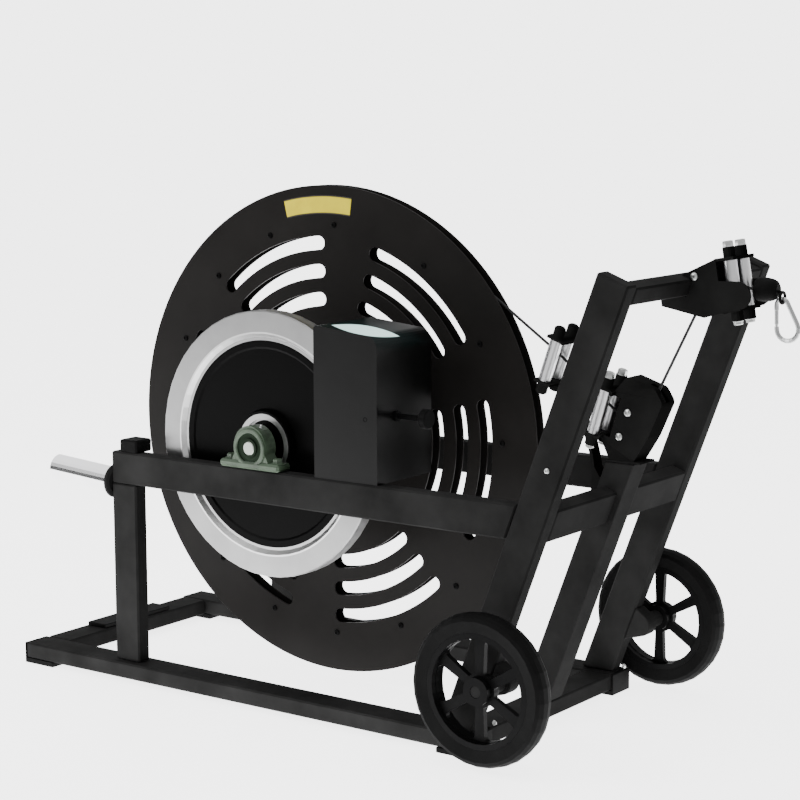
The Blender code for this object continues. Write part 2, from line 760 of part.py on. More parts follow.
def spool():
    slots = [slot(radius, math.radians(center)) for center in SLOT_CENTERS for radius in SLOT_RADII]
    rim = circle(AXLE_X, AXLE_Z, SPOOL_RADIUS, SPOOL_STEPS)
    eye = circle(AXLE_X, AXLE_Z, HUB_RADIUS + GAP, 32)
    for side, tag in SIDES:
        y = side * (SPOOL_INNER + FLANGE_THICK / 2)
        flange = plate("spool_flange_" + tag, [rim, eye] + slots, FLANGE_THICK, y)
        finish(flange, (0.012, 0.012, 0.013), 0.3, 0.0)
    inside = SPOOL_INNER - GAP
    end = HUB_LENGTH / 2
    bore = AXLE_RADIUS + GAP
    hub = turned("spool_hub",
                 [(HUB_RADIUS, end), (HUB_RADIUS, inside), (HUB_SHOULDER, inside),
                  (HUB_SHOULDER, -inside), (HUB_RADIUS, -inside), (HUB_RADIUS, -end),
                  (bore, -end), (bore, end)], 24)
    machined(lay_across(hub, AXLE_X, 0.0, AXLE_Z))
    drum = turned("spool_drum",
                  [(DRUM_RADIUS, inside), (DRUM_RADIUS, -inside), (DRUM_RADIUS - DRUM_WALL, -inside),
                   (DRUM_RADIUS - DRUM_WALL, inside)], DRUM_STEPS)
    painted(lay_across(drum, AXLE_X, 0.0, AXLE_Z))
    pack = turned("rope_pack",
                  [(PACK_RADIUS, inside), (PACK_RADIUS, -inside), (DRUM_RADIUS + GAP, -inside),
                   (DRUM_RADIUS + GAP, inside)], DRUM_STEPS)
    corded(lay_across(pack, AXLE_X, 0.0, AXLE_Z))


def tangent(center, radius, point, side):
    """Where a line from a point touches a circle; side is +1 for the left of the line to it."""
    offset = Vector(center) - Vector(point)
    reach = offset.length
    turn = side * math.asin(radius / reach)
    heading = math.atan2(offset.y, offset.x) + turn
    length = math.sqrt(reach * reach - radius * radius)
    return Vector(point) + length * Vector((math.cos(heading), math.sin(heading)))


def crossing(first, second, radius):
    """The two ends of a line that touches equal circles on opposite sides."""
    middle = (Vector(first) + Vector(second)) / 2
    return tangent(first, radius, middle, 1), tangent(second, radius, middle, 1)


def round_pulley(center, start, end, clockwise):
    """Rope points over a pulley, from one contact to the next."""
    first = math.atan2(start.y - center[1], start.x - center[0])
    last = math.atan2(end.y - center[1], end.x - center[0])
    sweep = (last - first) % math.tau
    if clockwise:
        sweep -= math.tau
    count = max(3, round(abs(sweep) / ROPE_STEP) + 1)
    return [Vector(p) for p in arc(*center, PULLEY_ROPE, first, first + sweep, count)]


def rope_lines():
    """Points of the winding on the spool and of the rope from there to its stopper."""
    axle_place = (AXLE_X, AXLE_Z)
    leave = tangent(axle_place, WIND_RADIUS, ROPE_GUIDE, -1)
    exit_y = WIND_PITCH * WIND_LOOPS / 2
    leave_angle = math.atan2(leave.y - AXLE_Z, leave.x - AXLE_X)
    count = round(LOOP_POINTS * WIND_LOOPS)
    winding = []
    for n in range(count + 1):
        turn = leave_angle + math.tau * (count - n) / LOOP_POINTS
        y = exit_y - WIND_PITCH * (count - n) / LOOP_POINTS
        winding.append(Vector((AXLE_X + WIND_RADIUS * math.cos(turn), y,
                               AXLE_Z + WIND_RADIUS * math.sin(turn))))
    inward = Vector((AXLE_X, winding[0].y, AXLE_Z)) - winding[0]
    dive = WIND_RADIUS - PACK_RADIUS - GAP
    winding.insert(0, winding[0] + inward.normalized() * dive)
    guide = Vector((ROPE_GUIDE[0], 0.0, ROPE_GUIDE[1]))
    heading = (guide - winding[-1]).normalized()
    tail = winding[-1] + heading * TAIL_LENGTH
    winding.append(tail)
    under = tangent(MID_PULLEY, PULLEY_ROPE, ROPE_GUIDE, -1)
    up, over = crossing(MID_PULLEY, TOP_PULLEY, PULLEY_ROPE)
    stop = (STOPPER_REAR - GAP, STOPPER_Z)
    approach = (stop[0] - 4 * ROPE_RADIUS, STOPPER_Z)
    away = tangent(TOP_PULLEY, PULLEY_ROPE, approach, -1)
    flat = round_pulley(MID_PULLEY, under, up, False) + round_pulley(TOP_PULLEY, over, away, True)
    run = [tail + heading * GAP, guide]
    run += [Vector((p.x, 0.0, p.y)) for p in flat]
    run += [Vector((x, 0.0, z)) for x, z in (approach, stop)]
    return winding, run


def least_gap(points, radius):
    """Least clear distance between turns that lie a whole loop apart."""
    half = LOOP_POINTS // 2
    return min((a - b).length for n, a in enumerate(points) for b in points[n + half:]) - 2 * radius


def rope():
    winding, run = rope_lines()
    corded(tube("rope_winding", winding, ROPE_RADIUS, 1))
    corded(tube("rope_run", run, ROPE_RADIUS, 2))
    print("least gap between turns, mm:", round(least_gap(winding[1:-1], ROPE_RADIUS) * 1000, 2))


def journal_rooms(guide, ends):
    """Cutters for the roller journals in a guide's end plates."""
    half = guide[3] / 2
    rooms = []
    for side, _ in SIDES:
        y = side * ROLLER_SPREAD
        reach = half + ends
        rooms.append(in_guide(place_now(rod("journal_room", JOURNAL_RADIUS + SPIN_GAP,
                                            (0, y, -reach), (0, y, reach), 16)), guide))
    return rooms


def guide_web(name, guide, window):
    """The front web of a roller guide, with a window for the rope."""
    top = guide[3] / 2 + GAP + GUIDE_PLATE / 2
    web = box(name, (WEB_SET, -GUIDE_HALF, -top), (WEB_SET + WEB_THICK, GUIDE_HALF, top))
    low, high = window
    room = box("rope_window", (0.0, -ROPE_SLOT, low), (2 * WEB_SET, ROPE_SLOT, high))
    for piece in (web, room):
        in_guide(place_now(piece), guide)
    return cut(web, room)


def guide_ends(guide, behind, ahead, half_width):
    """The two end plates of a roller guide, with a boss for each journal."""
    low = guide[3] / 2 + GAP
    high = low + GUIDE_PLATE
    pieces = []
    for way in (-1, 1):
        levels = sorted((way * low, way * high))
        pieces.append(box("end_plate", (-behind, -half_width, levels[0]),
                          (ahead, half_width, levels[1])))
        for side, _ in SIDES:
            y = side * ROLLER_SPREAD
            pieces.append(rod("boss", BOSS_RADIUS, (0, y, way * (high - GUIDE_PLATE / 2)),
                              (0, y, way * (high + BOSS_HEIGHT)), 16))
    for piece in pieces:
        in_guide(place_now(piece), guide)
    return pieces


def rollers(guide, tag):
    half = guide[3] / 2
    tip = half + JOURNAL_LENGTH
    for side, name in SIDES:
        roller = turned(f"{tag}_roller_{name}",
                        [(0.0, tip), (JOURNAL_RADIUS, tip), (JOURNAL_RADIUS, half),
                         (ROLLER_RADIUS, half), (ROLLER_RADIUS, -half), (JOURNAL_RADIUS, -half),
                         (JOURNAL_RADIUS, -tip), (0.0, -tip)], 16, closed=False)
        roller.location = (0.0, side * ROLLER_SPREAD, 0.0)
        chromed(in_guide(place_now(roller), guide))


def rear_guide():
    bracket = guide_web("rear_guide_bracket", REAR_GUIDE, REAR_WINDOW)
    join(bracket, *guide_ends(REAR_GUIDE, GUIDE_BEHIND, WEB_SET + WEB_THICK / 4, GUIDE_HALF - PLATE_INSET))
    center_x = ARM_FOOT_X - ARM_RADIUS
    half = ARM_THICK / 2
    seat = GAP / math.cos(LEAN_ANGLE)
    end_x, end_z = guide_point(REAR_GUIDE, ARM_END, -REAR_GUIDE[3] / 2 - GUIDE_PLATE / 2)
    sweep = math.acos((end_x - center_x) / ARM_RADIUS)
    start_z = end_z - ARM_RADIUS * math.sin(sweep)
    outer = arc(center_x, start_z, ARM_RADIUS + half, 0.0, sweep, 10)
    inner = arc(center_x, start_z, ARM_RADIUS - half, sweep, 0.0, 10)
    foot_high, foot_low = ARM_FOOT_HIGH, ARM_FOOT_LOW
    foot = [(center_rear(foot_low) - seat - ARM_THICK, foot_low), (center_rear(foot_low) - seat, foot_low),
            (center_rear(foot_high) - seat, foot_high)]
    arm = plate("guide_arm", [inner + foot + outer[1:]], ARM_WIDTH)
    join(bracket, arm)
    cut(bracket, *journal_rooms(REAR_GUIDE, JOURNAL_LENGTH + INTO))
    painted(bracket)
    rollers(REAR_GUIDE, "rear")


def pulley(name, center):
    half = PULLEY_WIDTH / 2
    hub = half + PULLEY_HUB_PROUD
    lip = half - PULLEY_LIP
    bore = PULLEY_PIN + SPIN_GAP
    wheel = turned(name,
                   [(PULLEY_HUB, hub), (PULLEY_HUB, half), (PULLEY_RADIUS, half),
                    (PULLEY_RADIUS, lip), (PULLEY_GROOVE, GROOVE_HALF), (PULLEY_GROOVE, -GROOVE_HALF),
                    (PULLEY_RADIUS, -lip), (PULLEY_RADIUS, -half), (PULLEY_HUB, -half),
                    (PULLEY_HUB, -hub), (bore, -hub), (bore, hub)], 24)
    plastic(lay_across(wheel, center[0], 0.0, center[1]))


def pulley_pin(center, half):
    """A pulley's pin between two side plates, with a shoulder that keeps the pulley central."""
    x, z = center
    shoulder = PULLEY_WIDTH / 2 + PULLEY_HUB_PROUD + SPIN_GAP
    end = half - INTO
    pieces = [rod("pin", PULLEY_PIN, (x, -end, z), (x, end, z), 16)]
    for side, _ in SIDES:
        pieces.append(rod("spacer", PULLEY_PIN + SPACER_WALL, (x, side * shoulder, z),
                          (x, side * end, z), 16))
    return pieces


def mid_pulley_housing():
    rear = WEB_SET + WEB_THICK / 2
    reach = MID_GUIDE[3] / 2 + GUIDE_PLATE
    run = CENTER_POST_SIDE / math.cos(LEAN_ANGLE)
    wall = (TUBE_WALL + GAP) / math.cos(LEAN_ANGLE)
    tongue = CENTER_POST_TOP - TONGUE
    seat = CENTER_POST_TOP + GAP
    cap = seat + SHELL_WALL
    outline = filleted([(center_rear(tongue) + wall, tongue), (center_rear(cap) + wall, cap),
                        guide_point(MID_GUIDE, rear, -reach), guide_point(MID_GUIDE, rear, reach),
                        *MID_FRONT, (center_rear(cap) + run - wall, cap),
                        (center_rear(tongue) + run - wall, tongue)],
                       [0, 0, 0, 0, *MID_ROUNDS, 0, 0])
    housing = plate("mid_pulley_housing", [outline], 2 * MID_HALF)
    w = SHELL_WALL
    below = tongue - TONGUE / 2
    inner = [(x - w * left, z - w * down) for (x, z), (left, down) in zip(MID_FRONT, MID_STEPS_IN)]
    room = filleted([(MID_ROOM_REAR[0], below), MID_ROOM_REAR, guide_point(MID_GUIDE, rear, reach - w),
                     *inner, (center_rear(cap) + run - wall - w, cap),
                     (center_rear(below) + run - wall - w, below)],
                    [0, 0, 0, *(max(w, r - w) for r in MID_ROUNDS), 0, 0])
    cut(housing, plate("housing_room", [room], 2 * (MID_HALF - SHELL_WALL)))
    lid = box("post_cap", (center_rear(seat), -CENTER_POST_SIDE / 2, seat),
              (center_rear(seat) + run + LID_REACH, CENTER_POST_SIDE / 2, cap))
    join(housing, lid)
    join(housing, guide_web("mid_guide_web", MID_GUIDE, MID_WINDOW))
    join(housing, *guide_ends(MID_GUIDE, GUIDE_BEHIND, WEB_SET + WEB_THICK / 4, GUIDE_HALF - PLATE_INSET))
    join(housing, *pulley_pin(MID_PULLEY, MID_HALF))
    low, high = ROPE_EXIT
    cut(housing, box("rope_exit", (low[0], -ROPE_SLOT, low[1]), (high[0], ROPE_SLOT, high[1])),
        *journal_rooms(MID_GUIDE, JOURNAL_LENGTH + INTO))
    painted(housing)
    rollers(MID_GUIDE, "mid")
    pulley("mid_pulley", MID_PULLEY)


def top_pulley_box():
    front = -WEB_SET - WEB_THICK / 2
    reach = TOP_GUIDE[3] / 2 + GUIDE_PLATE
    top_front = guide_point(TOP_GUIDE, front, reach)
    low_front = guide_point(TOP_GUIDE, front, -reach)
    nose = arc(NOSE_X, NOSE_Z, NOSE_RADIUS, math.radians(-85), math.radians(85), 9)
    nose_root = guide_point(TOP_GUIDE, front, BOX_NOSE_ROOT)
    crown = plate("top_pulley_box", [[*BOX_REAR, low_front, *nose, nose_root, top_front]], 2 * BOX_HALF)
    w = SHELL_WALL
    back, ahead = BOX_REAR[0][0] + 4 * w, NOSE_X + 2 * NOSE_RADIUS
    below = BOX_REAR[-1][1] - BOX_HALF
    room = [(back, BOX_REAR[0][1]), (back, below), (ahead, below), (ahead, BOX_ROOM_TOP),
            (top_front[0] + w, BOX_ROOM_TOP), (top_front[0] + w, top_front[1] - w),
            (top_front[0] - w, top_front[1] - w)]
    cut(crown, plate("box_room", [room], 2 * (BOX_HALF - SHELL_WALL)))
    window = flush_outline(CROSS_BAR_Z, CROSS_BAR_SIDE, CROSS_BAR_SIDE, -GAP)
    cut(crown, plate("bar_window", [window], 3 * BOX_HALF))
    join(crown, *guide_ends(TOP_GUIDE, WEB_SET + WEB_THICK, GUIDE_BEHIND, BOX_HALF - PLATE_INSET))
    join(crown, *pulley_pin(TOP_PULLEY, BOX_HALF))
    cut(crown, *journal_rooms(TOP_GUIDE, JOURNAL_LENGTH + INTO))
    painted(crown)
    rollers(TOP_GUIDE, "top")
    pulley("top_pulley", TOP_PULLEY)


def brake_housing():
    low = RAIL_TOP + GAP
    w = SHELL_WALL
    middle = (BRAKE_NEAR_Y + BRAKE_FAR_Y) / 2
    inside = BRAKE_FRONT - w
    outline = filleted([(BRAKE_REAR, low), (BRAKE_REAR, BRAKE_TOP_REAR), (BRAKE_FRONT, BRAKE_TOP_FRONT),
                        (BRAKE_FRONT, low)], [0, BRAKE_EDGE, BRAKE_ROUND, 0], 6)
    shell = plate("brake_housing", [outline], BRAKE_WIDTH, middle)
    slope = (BRAKE_TOP_REAR - BRAKE_TOP_FRONT) / (BRAKE_FRONT - BRAKE_REAR)
    back, below = BRAKE_REAR - OUTSIDE, low - OUTSIDE
    room = filleted([(back, below), (back, BRAKE_TOP_REAR - w + slope * OUTSIDE),
                     (inside, BRAKE_TOP_FRONT - w + slope * w), (inside, below)],
                    [0, 0, BRAKE_ROUND - w, 0], 6)
    cut(shell, plate("brake_room", [room], BRAKE_WIDTH - 2 * w, middle))
    ledge = box("brake_ledge", (BRAKE_REAR, BRAKE_NEAR_Y + INTO, low),
                (BRAKE_FRONT - INTO, -RAIL_Y + FRAME_THIN / 2, low + w))
    join(shell, ledge)
    cut(shell, rod("spindle_room", SPINDLE_RADIUS + SPIN_GAP,
                   (BRAKE_FRONT - OUTSIDE / 2, FLYWHEEL_Y, SPINDLE_Z),
                   (BRAKE_FRONT + OUTSIDE, FLYWHEEL_Y, SPINDLE_Z), 16))
    finish(shell, (0.02, 0.021, 0.021), 0.25, 0.0)


def magnet_carrier():
    half = CARRIER_HEIGHT / 2
    slot_half = FLYWHEEL_THICK / 2 + AIR_GAP
    outer = slot_half + CARRIER_WALL
    bridge = CARRIER_BACK - CARRIER_BRIDGE
    carrier = box("magnet_carrier", (bridge - CARRIER_REACH, FLYWHEEL_Y - outer, SPINDLE_Z - half),
                  (CARRIER_BACK, FLYWHEEL_Y + outer, SPINDLE_Z + half))
    soften(carrier, SMALL_ROUND)
    cut(carrier, box("rim_room", (BRAKE_REAR, FLYWHEEL_Y - slot_half, RAIL_TOP),
                     (bridge, FLYWHEEL_Y + slot_half, BRAKE_TOP_REAR)))
    cut(carrier, rod("spindle_bore", SPINDLE_RADIUS + SPIN_GAP,
                     (bridge - CARRIER_WALL, FLYWHEEL_Y, SPINDLE_Z),
                     (BRAKE_FRONT, FLYWHEEL_Y, SPINDLE_Z), 16))
    finish(carrier, (0.35, 0.35, 0.36), 0.4, 1.0)


def brake_knob():
    knob = rod("brake_knob", KNOB_RADIUS, (KNOB_X, FLYWHEEL_Y, SPINDLE_Z),
               (KNOB_X + KNOB_LENGTH, FLYWHEEL_Y, SPINDLE_Z), 24)
    soften(knob, SMALL_ROUND)
    spindle = rod("knob_spindle", SPINDLE_RADIUS, (SPINDLE_TIP, FLYWHEEL_Y, SPINDLE_Z),
                  (KNOB_X + KNOB_LENGTH / 2, FLYWHEEL_Y, SPINDLE_Z), 16)
    collar = rod("knob_collar", SPINDLE_RADIUS + COLLAR_WALL, (BRAKE_FRONT + GAP, FLYWHEEL_Y, SPINDLE_Z),
                 (BRAKE_FRONT + COLLAR_LENGTH, FLYWHEEL_Y, SPINDLE_Z), 16)
    join(knob, spindle, collar)
    plastic(knob)


def wheel_bracket(side, tag):
    """A lug on a front post's face with the stub axle of a transport wheel."""
    y = side * RAIL_Y
    seat = POST_RUN + GAP / math.cos(LEAN_ANGLE)
    low, high = WHEEL_Z - LUG_HALF, WHEEL_Z + LUG_HALF
    nose = arc(WHEEL_X, WHEEL_Z, LUG_RADIUS, math.radians(-60), math.radians(60), 9)
    lug = plate("wheel_bracket_" + tag,
                [[(post_rear(low) + seat, low)] + nose + [(post_rear(high) + seat, high)]],
                FRAME_THIN, y)
    soften(lug, SMALL_ROUND)
    hub_face = WHEEL_Y - HUB_WIDTH / 2 - SPIN_GAP
    outside = WHEEL_Y + HUB_WIDTH / 2 - INTO
    shoulder = rod("shoulder", STUB_RADIUS + STUB_SHOULDER, (WHEEL_X, side * RAIL_Y, WHEEL_Z),
                   (WHEEL_X, side * hub_face, WHEEL_Z), 20)
    stub = rod("stub", STUB_RADIUS, (WHEEL_X, side * RAIL_Y, WHEEL_Z),
               (WHEEL_X, side * outside, WHEEL_Z), 20)
    painted(join(lug, shoulder, stub))


def wheel_window(n):
    """The opening between two spokes, in the wheel's own plane."""
    center = math.tau * n / SPOKES
    pitch = math.pi / SPOKES
    inner_radius = HUB_OUTER + SPOKE_THICK / 2
    outer_radius = RIM_INNER - INTO
    outer_half = pitch - math.asin(SPOKE_AT_RIM / 2 / outer_radius)
    inner_half = pitch - math.asin(SPOKE_AT_HUB / 2 / inner_radius)
    outer = arc(0, 0, outer_radius, center - outer_half, center + outer_half, 5)
    inner = arc(0, 0, inner_radius, center + inner_half, center - inner_half, 3)
    radii = [WINDOW_ROUND, 0, 0, 0, WINDOW_ROUND, WINDOW_FOOT_ROUND, 0, WINDOW_FOOT_ROUND]
    return filleted(outer + inner, radii, 3)


def tyre_section():
    """Half section of a tyre: a rounded tread over straight sides."""
    half = TYRE_WIDTH / 2
    turns = [math.pi / 2 - math.pi * n / (TYRE_POINTS - 1) for n in range(TYRE_POINTS)]
    tread = [(TYRE_RADIUS - TYRE_CROWN * (1 - math.cos(t)), half * math.sin(t)) for t in turns]
    return tread + [(RIM_RADIUS + GAP, -RIM_WIDTH / 2), (RIM_RADIUS + GAP, RIM_WIDTH / 2)]


def transport_wheels():
    for side, tag in SIDES:
        wheel_bracket(side, tag)
        tyre = turned("wheel_tyre_" + tag, tyre_section(), WHEEL_STEPS)
        rubber(lay_across(tyre, WHEEL_X, side * WHEEL_Y, WHEEL_Z))
        face = circle(0, 0, (RIM_RADIUS + RIM_INNER) / 2, WHEEL_STEPS)
        center = plate("wheel_center_" + tag, [face] + [wheel_window(n) for n in range(SPOKES)],
                       SPOKE_THICK)
        rim = turned("rim", [(RIM_RADIUS, RIM_WIDTH / 2), (RIM_RADIUS, -RIM_WIDTH / 2),
                             (RIM_INNER, -RIM_WIDTH / 2), (RIM_INNER, RIM_WIDTH / 2)], WHEEL_STEPS)
        rim.rotation_euler = (-math.pi / 2, 0.0, 0.0)
        hub = rod("hub", HUB_OUTER, (0, -HUB_WIDTH / 2, 0), (0, HUB_WIDTH / 2, 0), 20)
        bore = rod("bore", STUB_RADIUS + SPIN_GAP, (0, -HUB_WIDTH, 0), (0, HUB_WIDTH, 0), 20)
        join(center, rim, hub)
        cut(center, bore)
        for piece in (center, rim, hub, bore):
            piece.location = (WHEEL_X, side * WHEEL_Y, WHEEL_Z)
        plastic(center)


def stopper():
    length = STOPPER_LENGTH
    body = turned("rope_stopper",
                  [(0.0, length), (0.009, length), (STOPPER_RADIUS, length - 0.005),
                   (STOPPER_RADIUS, 0.008), (0.010, 0.0), (0.0, 0.0)], 24, closed=False)
    body.rotation_euler = (0.0, math.pi / 2, 0.0)
    body.location = (STOPPER_REAR, 0.0, STOPPER_Z)
    wire_under = HOOK_TOP[1] + HOOK_TOP[2] - HOOK_WIRE
    eye_z = wire_under - GAP + EYE_RADIUS - EYE_WIRE
    eye_x = HOOK_TOP[0]
    ring = turned("rope_eye", [(EYE_RADIUS + EYE_WIRE * math.cos(t), -EYE_WIRE * math.sin(t))
                               for t in (math.tau * n / 8 for n in range(8))], 24)
    ring.rotation_euler = (0.0, math.pi / 2, 0.0)
    ring.location = (eye_x, 0.0, eye_z)
    neck = rod("eye_neck", EYE_WIRE, (STOPPER_REAR + length - 0.004, 0.0, eye_z + EYE_RADIUS),
               (eye_x, 0.0, eye_z + EYE_RADIUS), 12)
    rubber(join(body, ring, neck))


def hook_points():
    """Center line of the snap hook: nose, top bend, back, bottom bend and heel."""
    top_x, top_z, top_r = HOOK_TOP
    low_x, low_z, low_r = HOOK_BOTTOM
    axis = Vector((low_x - top_x, low_z - top_z))
    turn = math.asin((low_r - top_r) / axis.length)
    down = math.atan2(axis.y, axis.x)
    right = down + math.pi / 2 + turn
    left = down - math.pi / 2 - turn
    top = [Vector((top_x, top_z)) + top_r * Vector((math.cos(a), math.sin(a)))
           for a in (left + (right - math.tau - left) * n / 8 for n in range(9))]
    bottom = [Vector((low_x, low_z)) + low_r * Vector((math.cos(a), math.sin(a)))
              for a in (right + (left - right) * n / 10 for n in range(11))]
    return top, bottom


def snap_hook():
    top, bottom = hook_points()
    side = (bottom[-1] - top[0]).normalized()
    nose = top[0] + side * HOOK_NOSE
    heel = bottom[-1] - side * HOOK_HEEL
    line = [nose] + top + bottom + [heel]
    body = tube("hook_body", [(p.x, 0.0, p.y) for p in line], HOOK_WIRE, 2)
    machined(body)
    along = (nose - heel).normalized()
    foot = heel + along * GATE_GAP
    length = (nose - heel).length - 2 * GATE_GAP
    gate = turned("hook_gate",
                  [(0.0, length), (HOOK_WIRE * 0.85, length), (HOOK_WIRE * 0.85, GATE_TAPER),
                   (HOOK_WIRE * 0.5, 0.0), (0.0, 0.0)], 16, closed=False)
    gate.rotation_euler = (0.0, math.atan2(along.x, along.y), 0.0)
    gate.location = (foot.x, 0.0, foot.y)
    machined(gate)


def set_origin():
    """Stand the machine on the floor with the middle of its box over the origin."""
    root = bpy.data.objects.new("trainer_root", None)
    parts.objects.link(root)
    for obj in list(parts.objects) + list(cutters.objects):
        if obj.parent is None and obj is not root:
            obj.parent = root
    root.location = (-(FRONT_X + BASE_REAR) / 2, 0.0, 0.0)


def build():
    clear_scene()
    base_frame()
    feet()
    upper_frame()
    center_post()
    cross_members()
    weight_horns()
    pillow_blocks()
    axle()
    flywheel()
    spool()
    rope()
    rear_guide()
    mid_pulley_housing()
    top_pulley_box()
    brake_housing()
    magnet_carrier()
    brake_knob()
    transport_wheels()
    stopper()
    snap_hook()
    set_origin()
    bpy.context.view_layer.update()


build()
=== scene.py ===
import math

import bmesh
import bpy
from mathutils import Matrix, Vector


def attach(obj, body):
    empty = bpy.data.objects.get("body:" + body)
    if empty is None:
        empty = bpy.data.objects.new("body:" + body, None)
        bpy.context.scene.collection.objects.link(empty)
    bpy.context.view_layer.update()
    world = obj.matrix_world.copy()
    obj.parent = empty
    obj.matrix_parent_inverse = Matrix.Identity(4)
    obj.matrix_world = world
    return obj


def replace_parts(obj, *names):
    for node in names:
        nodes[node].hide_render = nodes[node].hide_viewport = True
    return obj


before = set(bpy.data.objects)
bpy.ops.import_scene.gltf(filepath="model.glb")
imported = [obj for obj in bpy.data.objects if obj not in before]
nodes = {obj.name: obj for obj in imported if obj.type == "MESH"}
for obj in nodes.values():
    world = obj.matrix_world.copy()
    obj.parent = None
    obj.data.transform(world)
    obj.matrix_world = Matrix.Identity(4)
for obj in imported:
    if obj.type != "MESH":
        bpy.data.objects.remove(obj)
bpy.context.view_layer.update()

# The part's own X starts near the base's rear end, and SHIFT moves it to the frame's. All in metres.
BASE_REAR = -0.006
HOOK_FRONT = 1.5035
SHIFT = -(HOOK_FRONT + BASE_REAR) / 2


def at(x, y, z):
    """A place given in the part's own X, Y and Z."""
    return Vector((x + SHIFT, y, z))


# Main places and sizes, and the two sides with their names.
AXLE_X = 0.561
AXLE_Z = 0.478
AXLE = at(AXLE_X, 0.0, AXLE_Z)
RAIL_Y = 0.231
SIDES = ((-1, "near"), (1, "far"))
UP = (0.0, 0.0, 1.0)
GAP = 0.0003
SHARP_ANGLE = math.radians(35.0)

# Roller guides: the X and Z of each one's middle, its lean and its rollers' length.
GUIDES = {"rear": (1.049, 0.648, math.radians(19.0), 0.076),
          "mid": (1.147, 0.5685, math.radians(16.9), 0.080),
          "top": (1.3935, 0.797, math.radians(-9.8), 0.078)}
GUIDE_PLATE = 0.005
BOSS_HEIGHT = 0.016
ROLLER_SPREAD = 0.0215
ROLLER_RADIUS = 0.011
ROLLER_EDGE = 0.0006
JOURNAL_RADIUS = 0.005
JOURNAL_LENGTH = 0.010

# Openings cut in the guides' webs, as two corners of a box in each guide's own axes.
REAR_OPENING = ((0.012, -0.036, -0.037), (0.022, 0.0305, 0.037))
MID_OPENING = ((0.012, -0.036, -0.036), (0.032, 0.0190, 0.036))

# Weight horns: where they leave the posts, the way they point and how far their collars reach.
HORN_LEAN = math.radians(4.0)
HORN_ROOT = at(0.2237, 0.0, 0.381)
HORN_ALONG = (-math.cos(HORN_LEAN), 0.0, math.sin(HORN_LEAN))
HORN_FLANGE = 0.0062

# The glint painted on the brake cover as a highlight: its left tip, the way it runs, the way across it and
# its size.
GLINT_START = at(0.7228, -0.2132, 0.7055)
GLINT_ALONG = (0.8113, 0.5590, -0.1719)
GLINT_ACROSS = (-0.0549, -0.2199, -0.9741)
GLINT_LENGTH = 0.1196
GLINT_HALF = 0.0100
# The glint's painted highlight colour, the dark teal of the painted halo round it, and black for no glow.
GLINT_WHITE = (0.60, 0.84, 0.80)
GLINT_HALO = (0.0022, 0.0085, 0.0085)
NO_LIGHT = (0.0, 0.0, 0.0)


